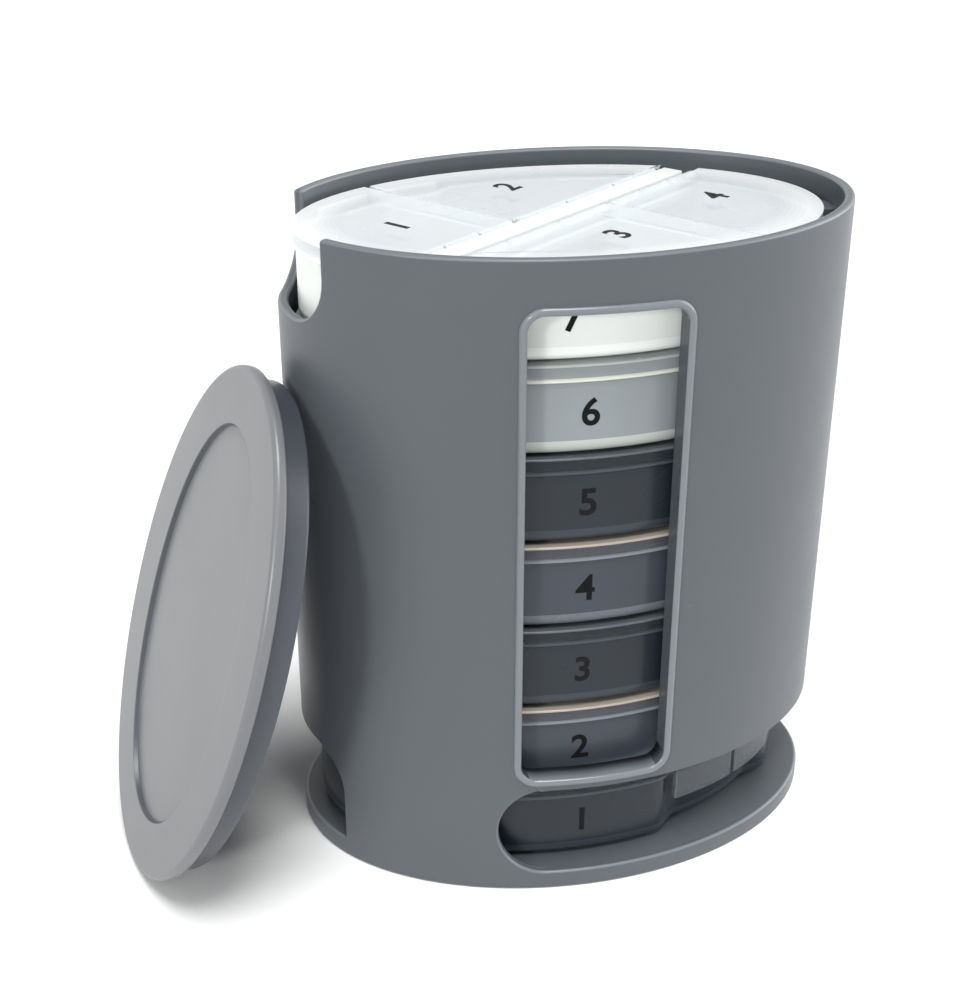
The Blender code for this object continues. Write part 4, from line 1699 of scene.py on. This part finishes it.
@dataclass
class Cap:
    """The cap, shaped flat with its face at height zero and then stood in its place.

    The points of plug_foot are given by their inset and their height over the plug's foot, and
    those of dish_wall by their inset, their depth and how much painted shade the faces up to
    there get. The plug's sides get painted shade too.
    """

    long: float = 53.1
    short: float = 35.9
    lip: float = 2.3
    foot_edge: float = 0.5
    face_edge: float = 1.1
    plug_inset: float = 2.1
    plug_depth: float = 5.1
    plug_wall: float = 1.8
    plug_foot: tuple[tuple[float, float], ...] = ((0.6, 0.0), (0.2, 0.2), (0.0, 0.7))
    plug_foot_inner: float = 0.4
    plug_root: float = 0.25
    plate: float = 1.9
    roof_corner: float = 0.8
    edge_steps: int = 5
    dish_long: float = 42.0
    dish_short: float = 24.8
    dish_depth: float = 1.0
    dish_wall: tuple[Point, ...] = (
        (-0.3, 0.0, 0.0),
        (-0.05, 0.05, 0.0),
        (0.06, 0.2, 0.5),
        (0.3, 0.85, 1.0),
        (0.4, 0.97, 1.0),
    )
    dish_foot: float = 0.65
    dish_foot_dim: float = 0.5
    roll: float = 13.1
    lean: float = -72.5
    turn: float = -3.2
    sides: int = 200

    def rings(self) -> list[tuple[float, float, float, float]]:
        """Work out the cap's profile, from the hollow in its plug round to its dish.

        Returns:
            Long and short radius, height and painted shade of the faces up to there, for each
            ring.
        """
        plug, hollow = self.plug_inset, self.plug_inset + self.plug_wall
        foot = -self.lip - self.plug_depth
        roof = -self.dish_depth - self.plate
        rows = [
            (hollow + self.roof_corner, roof, 0.0),
            (hollow, roof - self.roof_corner, 0.0),
            (hollow, foot + self.plug_foot_inner, 1.0),
            (hollow - self.plug_foot_inner, foot, 1.0),
            *((plug + inset, foot + rise, 1.0) for inset, rise in self.plug_foot),
            (plug, -self.lip - self.plug_root, 1.0),
            (plug - self.plug_root, -self.lip, 1.0),
        ]
        for inset, rise in quarter_round(self.foot_edge, self.edge_steps):
            rows.append((inset, -self.lip + rise, 0.0))
        for inset, fall in reversed(quarter_round(self.face_edge, self.edge_steps)):
            rows.append((inset, -fall, 0.0))
        long, short = self.long, self.short
        rings = [(long - inset, short - inset, height, dim) for inset, height, dim in rows]
        floor = (self.dish_foot, self.dish_depth, self.dish_foot_dim)
        for inset, depth, dim in (*self.dish_wall, floor):
            rings.append((self.dish_long - inset, self.dish_short - inset, -depth, dim))
        return rings

    def shape(self) -> Shape:
        """Make the cap by drawing an oval ring from the hollow round to the dish.

        Returns:
            The cap.
        """
        rings = self.rings()
        bm = bmesh.new()
        layer = bm.faces.layers.float.new("dim")
        bmesh.ops.create_circle(bm, cap_ends=True, segments=self.sides, radius=1.0)
        long, short, height, _ = rings[0]
        bmesh.ops.scale(bm, vec=(long, short, 1), verts=bm.verts)
        bmesh.ops.translate(bm, vec=(0, 0, height), verts=bm.verts)
        edges = bm.edges[:]
        for (old_long, old_short, old_height, _), ring in zip(rings, rings[1:]):
            long, short, height, dim = ring
            verts, edges, faces = grow(bm, edges)
            bmesh.ops.scale(bm, vec=(long / old_long, short / old_short, 1), verts=verts)
            bmesh.ops.translate(bm, vec=(0, 0, height - old_height), verts=verts)
            for face in faces:
                face[layer] = dim
        bmesh.ops.contextual_create(bm, geom=edges)["faces"][0][layer] = 0.0
        return bm

    def build(self) -> None:
        """Build the cap, stand it up and seat it where its node is."""
        mesh = as_mesh([self.shape()], "cap_shell")
        pose = (
            Matrix.Rotation(math.radians(self.turn), 4, "Z")
            @ Matrix.Rotation(math.radians(self.lean), 4, "Y")
            @ Matrix.Rotation(math.radians(self.roll), 4, "X")
        )
        mesh.transform(pose)
        points = [v.co for v in mesh.vertices]
        least, most = ([pick(p[i] for p in points) for i in range(3)] for pick in (min, max))
        low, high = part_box("cap")
        across = (low.y + high.y - least[1] - most[1]) / 2
        shift = Vector((high.x - most[0], across, low.z - least[2]))
        mesh.transform(Matrix.Translation(shift))
        place_piece(mesh, "cap_shell", "cap", Finish.CAP, "cap")


# Studio


def toward(azimuth: float, elevation: float) -> Vector:
    """Direction to something, by its azimuth from the front and its elevation in degrees."""
    a, e = math.radians(azimuth), math.radians(elevation)
    return Vector((math.sin(a) * math.cos(e), -math.cos(a) * math.cos(e), math.sin(e)))


def face_away(item: bpy.types.Object, direction: Vector) -> None:
    """Turn a camera or a lamp so that it looks away from a direction."""
    item.rotation_mode = "QUATERNION"
    item.rotation_quaternion = (-direction).to_track_quat("-Z", "Y")


@dataclass(frozen=True)
class Lamp:
    """A distant soft light, with its place and its apparent width in degrees."""

    name: str
    azimuth: float
    elevation: float
    strength: float
    width: float

    def hang(self) -> None:
        """Put the lamp in the scene."""
        data = bpy.data.lights.new(self.name, "SUN")
        data.energy = self.strength
        data.angle = math.radians(self.width)
        face_away(add_object(self.name, data), toward(self.azimuth, self.elevation))


@dataclass
class Studio:
    """Plain pale floor, soft lights and the camera, placed as the photograph shows."""

    camera_place: Point = (-82.34, -273.75, 208.07)
    camera_azimuth: float = -13.448
    camera_elevation: float = 26.329
    camera_lens: float = 57.35
    camera_sensor: float = 36.0
    camera_nearest: float = 0.01
    floor_reach: float = 6.0
    floor_colour: str = "#fafafa"
    floor_roughness: float = 0.9
    floor_specular: float = 0.1
    world_strength: float = 0.02
    lamps: tuple[Lamp, ...] = (
        Lamp("key", -46.0, 18.0, 1.1, 8.0),
        Lamp("right_wall", 90.0, 15.0, 3.4, 60.0),
        Lamp("left_front", -50.0, 35.0, 0.8, 60.0),
        Lamp("left_behind", -140.0, 20.0, 0.3, 50.0),
        Lamp("overhead", 0.0, 72.0, 2.6, 25.0),
    )

    def camera(self) -> None:
        """Set the camera where the photograph was taken from."""
        data = bpy.data.cameras.new("camera")
        data.sensor_width = self.camera_sensor
        data.lens = self.camera_lens
        data.clip_start = self.camera_nearest
        item = add_object("camera", data)
        item.location = Vector(self.camera_place) * MM
        face_away(item, toward(self.camera_azimuth, self.camera_elevation))
        bpy.context.scene.camera = item

    def floor(self) -> None:
        """Lay a wide floor of matt white paper."""
        bm = bmesh.new()
        bmesh.ops.create_grid(bm, x_segments=1, y_segments=1, size=self.floor_reach)
        mesh = bpy.data.meshes.new("floor")
        bm.to_mesh(mesh)
        bm.free()
        item = add_object("floor", mesh)
        material = bpy.data.materials.new("paper_matt_white_sweep")
        material.use_nodes = True
        shader = material.node_tree.nodes["Principled BSDF"]
        shader.inputs["Base Color"].default_value = linear(self.floor_colour)
        shader.inputs["Roughness"].default_value = self.floor_roughness
        shader.inputs["Specular IOR Level"].default_value = self.floor_specular
        mesh.materials.append(material)

    def world(self) -> None:
        """Light the room faintly, and show white to the camera and in reflections."""
        world = bpy.data.worlds.new("studio")
        bpy.context.scene.world = world
        world.use_nodes = True
        tree = world.node_tree
        tree.nodes.clear()
        paths = add_node(tree, "ShaderNodeLightPath").outputs
        seen = calculate(tree, "MAXIMUM", paths["Is Camera Ray"], paths["Is Glossy Ray"])
        room, white = (
            add_node(tree, "ShaderNodeBackground", inputs={"Color": WHITE, "Strength": strength})
            for strength in (self.world_strength, 1.0)
        )
        both = {0: seen, 1: room.outputs[0], 2: white.outputs[0]}
        mixed = add_node(tree, "ShaderNodeMixShader", inputs=both)
        add_node(tree, "ShaderNodeOutputWorld", inputs={"Surface": mixed.outputs[0]})

    def build(self) -> None:
        """Build the studio."""
        self.camera()
        self.floor()
        for lamp in self.lamps:
            lamp.hang()
        self.world()
        bpy.context.scene.view_settings.view_transform = "Standard"


def main() -> None:
    """Build the object and its studio."""
    logging.basicConfig(level=logging.INFO, format="%(name)s: %(message)s")
    Studio().build()
    Case().build()
    shape = TrayShape()
    TrayStack(shape, LidShape(shape)).build()
    Cap().build()


if __name__ == "__main__":
    main()
